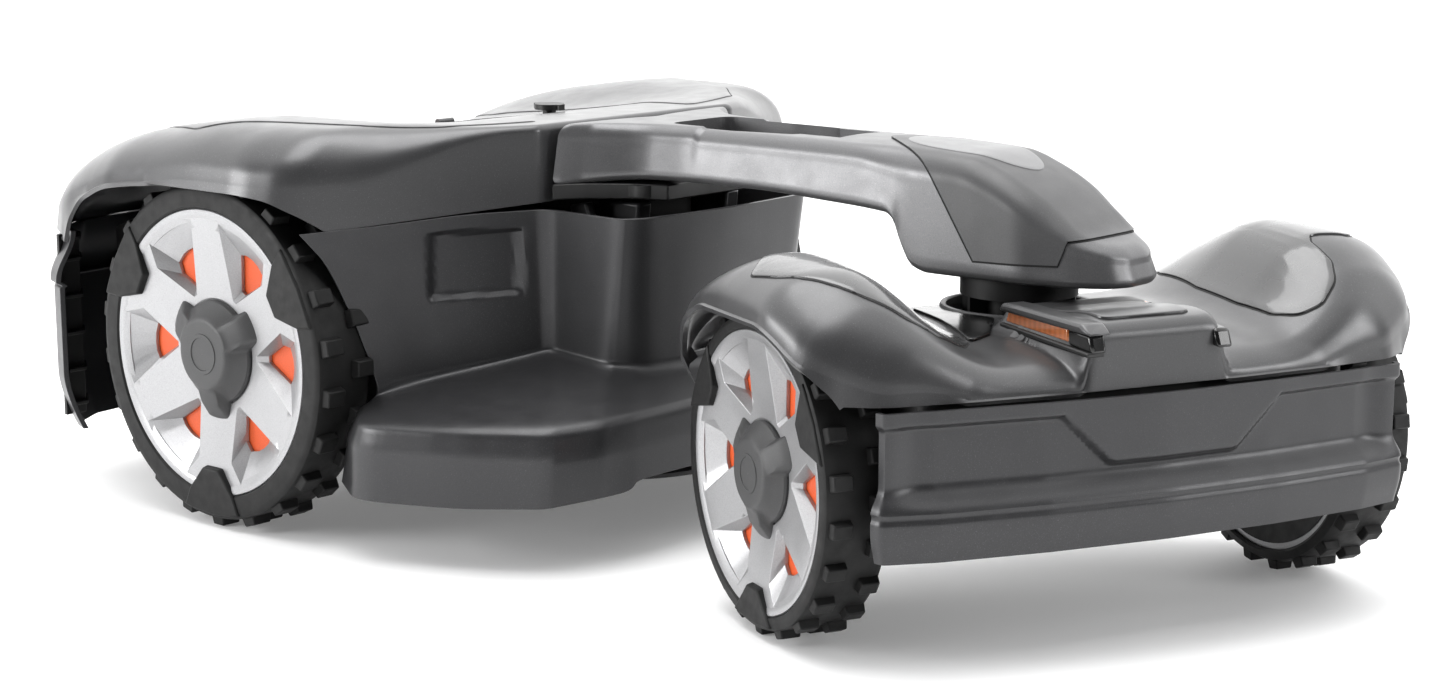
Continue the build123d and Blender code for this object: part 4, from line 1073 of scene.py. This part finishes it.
def lug_ring(name, place, body, node, width, tread):
    """Two staggered rows of block lugs around a tyre."""
    points, faces = [], []
    for z_in, z_out, shift in ((-21.0, -4.0, 0.5), (-width + 4.0, -width + 20.0, 0.0)):
        for k in range(LUG_COUNT):
            middle = -90 + (k + shift - 0.5) * 360 / LUG_COUNT
            start = len(points)
            for z, slant in ((z_in, 1.2), (z_out, -1.2)):
                for r, top_shift, half_angle in ((tread - 7.9, 0.0, 3.2), (tread, slant, 2.5)):
                    for sign in (-1, 1):
                        points.append((*turned(r, middle + sign * half_angle), z + top_shift))
            faces += [tuple(start + i for i in face) for face in LUG_FACES]
    return piece(name, points, faces, place, "tyre_black", body, (node,), bevel=0.9)


def hub_cover(name, place, body, node):
    """Three-lobed cap: each row is (radius, how far the lobes reach beyond it, height)."""
    turn = np.linspace(0, 360, 144, endpoint=False)
    away = np.min([np.abs((turn - lobe + 180) % 360 - 180) for lobe in LOBES], axis=0)
    lobe_share = 1 - ease(away, 11, 23)
    profile = ((36.0, 13.0, -16.0), (36.6, 13.2, -9.0), (35.8, 12.6, -7.2), (30.5, 12.5, -3.2),
               (27.0, 11.0, 0.6), (25.2, 4.0, 2.6), (23.8, 1.2, 3.4), (22.0, 0.2, 3.6), (14.0, 0.0, 3.6),
               (6.0, 0.0, 3.6), (0.2, 0.0, 3.6))
    points = []
    for base, lobe, z in profile:
        drop = 2.2 * lobe_share * (lobe > 3)
        points += [(*turned(r, t), z - d) for r, t, d in zip(base + lobe * lobe_share, turn, drop)]
    return piece(name, points, row_faces(len(profile), len(turn), True), place, "hub_dark", body, (node,),
                 angle=28.0, bevel=0.6)


def build_wheel(wheel, scale, width, radius):
    """A wheel's looks in its own frame, as large as a front wheel before scaling."""
    place = wheel_place(wheel, scale)
    body = wheel + "_wheel"
    rim, tyre, inlay, cap = (f"{wheel}_{part}" for part in ("rim", "tyre", "inlay", "hub_cap"))
    width = width / scale
    tread = radius / scale - 0.4
    wall = tread - 6.2

    def ring(part, profile, slot, node, count=96):
        revolved(f"{wheel}_{part}", profile, place, slot, body, (node,), count=count)

    rim_face(f"{wheel}_rim_face", place, body, rim)
    ring("rim_barrel", [(92, -4), (96, -2.2), (99, -1.2), (100.8, -1.4), (101.6, -3), (101.6, -width + 4),
                        (97, -width + 4), (97, -24), (94, -20)], "rim_silver", rim, 144)
    ring("rim_hub", [(30, -12), (38.6, -11.2), (40.5, -9.8), (42, -9.6), (42.5, -14), (42.5, -24), (30, -24)],
         "rim_silver", rim)
    ring("inlay_disc", [(38, -17.8), (90, -17.8), (90, -20), (38, -20)], "inlay_orange", inlay)
    ring("inner_cover", [(20, -width + 12), (97, -width + 6), (97, -width + 3), (60, -width + 8),
                         (20, -width + 8)], "tyre_black", tyre)
    ring("tyre_carcass", [(101.6, -2.0), (103.0, -0.6), (wall - 5, -0.6), (wall - 2, -1.0),
                          (wall - 0.4, -2.2), (wall + 0.3, -4.5), (wall, -width / 2), (wall, -width + 7),
                          (wall - 2, -width + 3), (wall - 8, -width + 1), (101.6, -width + 2)],
         "tyre_black", tyre, 144)
    lug_ring(f"{wheel}_tyre_lugs", place, body, tyre, width, tread)
    outline = [(-9, 81.5), (-24.5, 98.5), (-31, wall - 5.4), (-22, wall - 3), (0, wall - 1.2), (22, wall - 3),
               (31, wall - 5.4), (24.5, 98.5), (9, 81.5)]
    for number, lobe in enumerate(LOBES):
        angle = math.radians(lobe - 90)
        spin = [(x * math.cos(angle) - y * math.sin(angle), x * math.sin(angle) + y * math.cos(angle))
                for x, y in outline]
        block(f"{wheel}_tyre_lobe_{number}", spin, -6.0, 0.9, place, "tyre_black", body, (tyre,), bevel=1.1,
              draft=1.5)
    hub_cover(f"{wheel}_hub_cap_cover", place, body, cap)
    ring("hub_ring", [(11.5, 3.5), (11.8, 4.2), (14.2, 4.2), (14.5, 3.5)], "hub_dark", cap, 64)


for wheel in WHEELS:
    build_wheel(wheel, *WHEEL_SIZES[wheel.split("_")[0]])

# ---------------- camera, floor and lights
CAMERA_AT = Vector((-1.2040, 1.3760, 0.4719))
CAMERA_YAW = -0.8594
CAMERA_DOWN = 0.1888
CAMERA_LENS, CAMERA_SENSOR = 64.9, 36.0
FLOOR_HALF = 14.0
FLOOR_GLOW = 0.16
BACKDROP_SIDE = (0.45, -0.52, 0.72)
BACKDROP_STRENGTH = 2.0


def build_stage():
    look = Vector((math.cos(CAMERA_YAW) * math.cos(CAMERA_DOWN), math.sin(CAMERA_YAW) * math.cos(CAMERA_DOWN),
                   -math.sin(CAMERA_DOWN)))
    camera = new_thing("camera", bpy.data.cameras.new("camera"))
    camera.location = CAMERA_AT
    camera.rotation_euler = look.to_track_quat("-Z", "Y").to_euler()
    camera.data.lens = CAMERA_LENS
    camera.data.sensor_width = CAMERA_SENSOR
    bpy.context.scene.camera = camera

    floor_mesh = bpy.data.meshes.new("floor")
    corners = [(-FLOOR_HALF, -FLOOR_HALF, 0), (FLOOR_HALF, -FLOOR_HALF, 0), (FLOOR_HALF, FLOOR_HALF, 0),
               (-FLOOR_HALF, FLOOR_HALF, 0)]
    floor_mesh.from_pydata(corners, [], [(0, 1, 2, 3)])
    floor = new_thing("floor", floor_mesh)
    material, tree, shader, place = new_material("floor_white")
    paint(tree, shader, noise(tree, place, 3.0), [(0.3, (0.86, 0.86, 0.86)), (0.7, (0.88, 0.88, 0.88))])
    set_inputs(shader, {"Roughness": 0.6, "Emission Color": (1.0, 1.0, 1.0, 1.0),
                        "Emission Strength": FLOOR_GLOW})
    floor.data.materials.append(material)

    world = bpy.data.worlds.new("studio")
    bpy.context.scene.world = world
    world.use_nodes = True
    tree = world.node_tree
    background = tree.nodes["Background"]
    place = tree.nodes.new("ShaderNodeTexCoord")
    toward = tree.nodes.new("ShaderNodeVectorMath")
    toward.operation = "DOT_PRODUCT"
    toward.inputs[1].default_value = BACKDROP_SIDE
    tree.links.new(place.outputs["Generated"], toward.inputs[0])
    sweep = ramp(tree, toward.outputs["Value"], [(0.0, (0.04, 0.04, 0.042)), (0.2, (0.16, 0.16, 0.165)),
                                                 (0.5, (1.0, 1.0, 1.0))])
    tree.links.new(sweep, background.inputs["Color"])
    set_inputs(background, {"Strength": BACKDROP_STRENGTH})
    bpy.context.scene.view_settings.view_transform = "Standard"


def area_light(name, at, aim, size, power):
    light = bpy.data.lights.new(name, "AREA")
    light.shape = "RECTANGLE"
    light.size, light.size_y = size
    light.energy = power
    thing = new_thing(name, light)
    thing.location = at
    thing.rotation_euler = (Vector(aim) - Vector(at)).to_track_quat("-Z", "Y").to_euler()


build_stage()
area_light("top_softbox", (0.2, 0.1, 2.3), (0, 0, 0), (2.2, 1.2), 36.0)
area_light("key_softbox", (1.5, 2.3, 0.9), (0, 0, 0.1), (1.5, 0.9), 52.0)
area_light("tail_softbox", (-2.6, -0.9, 1.1), (-0.3, 0, 0.1), (0.7, 1.2), 26.0)
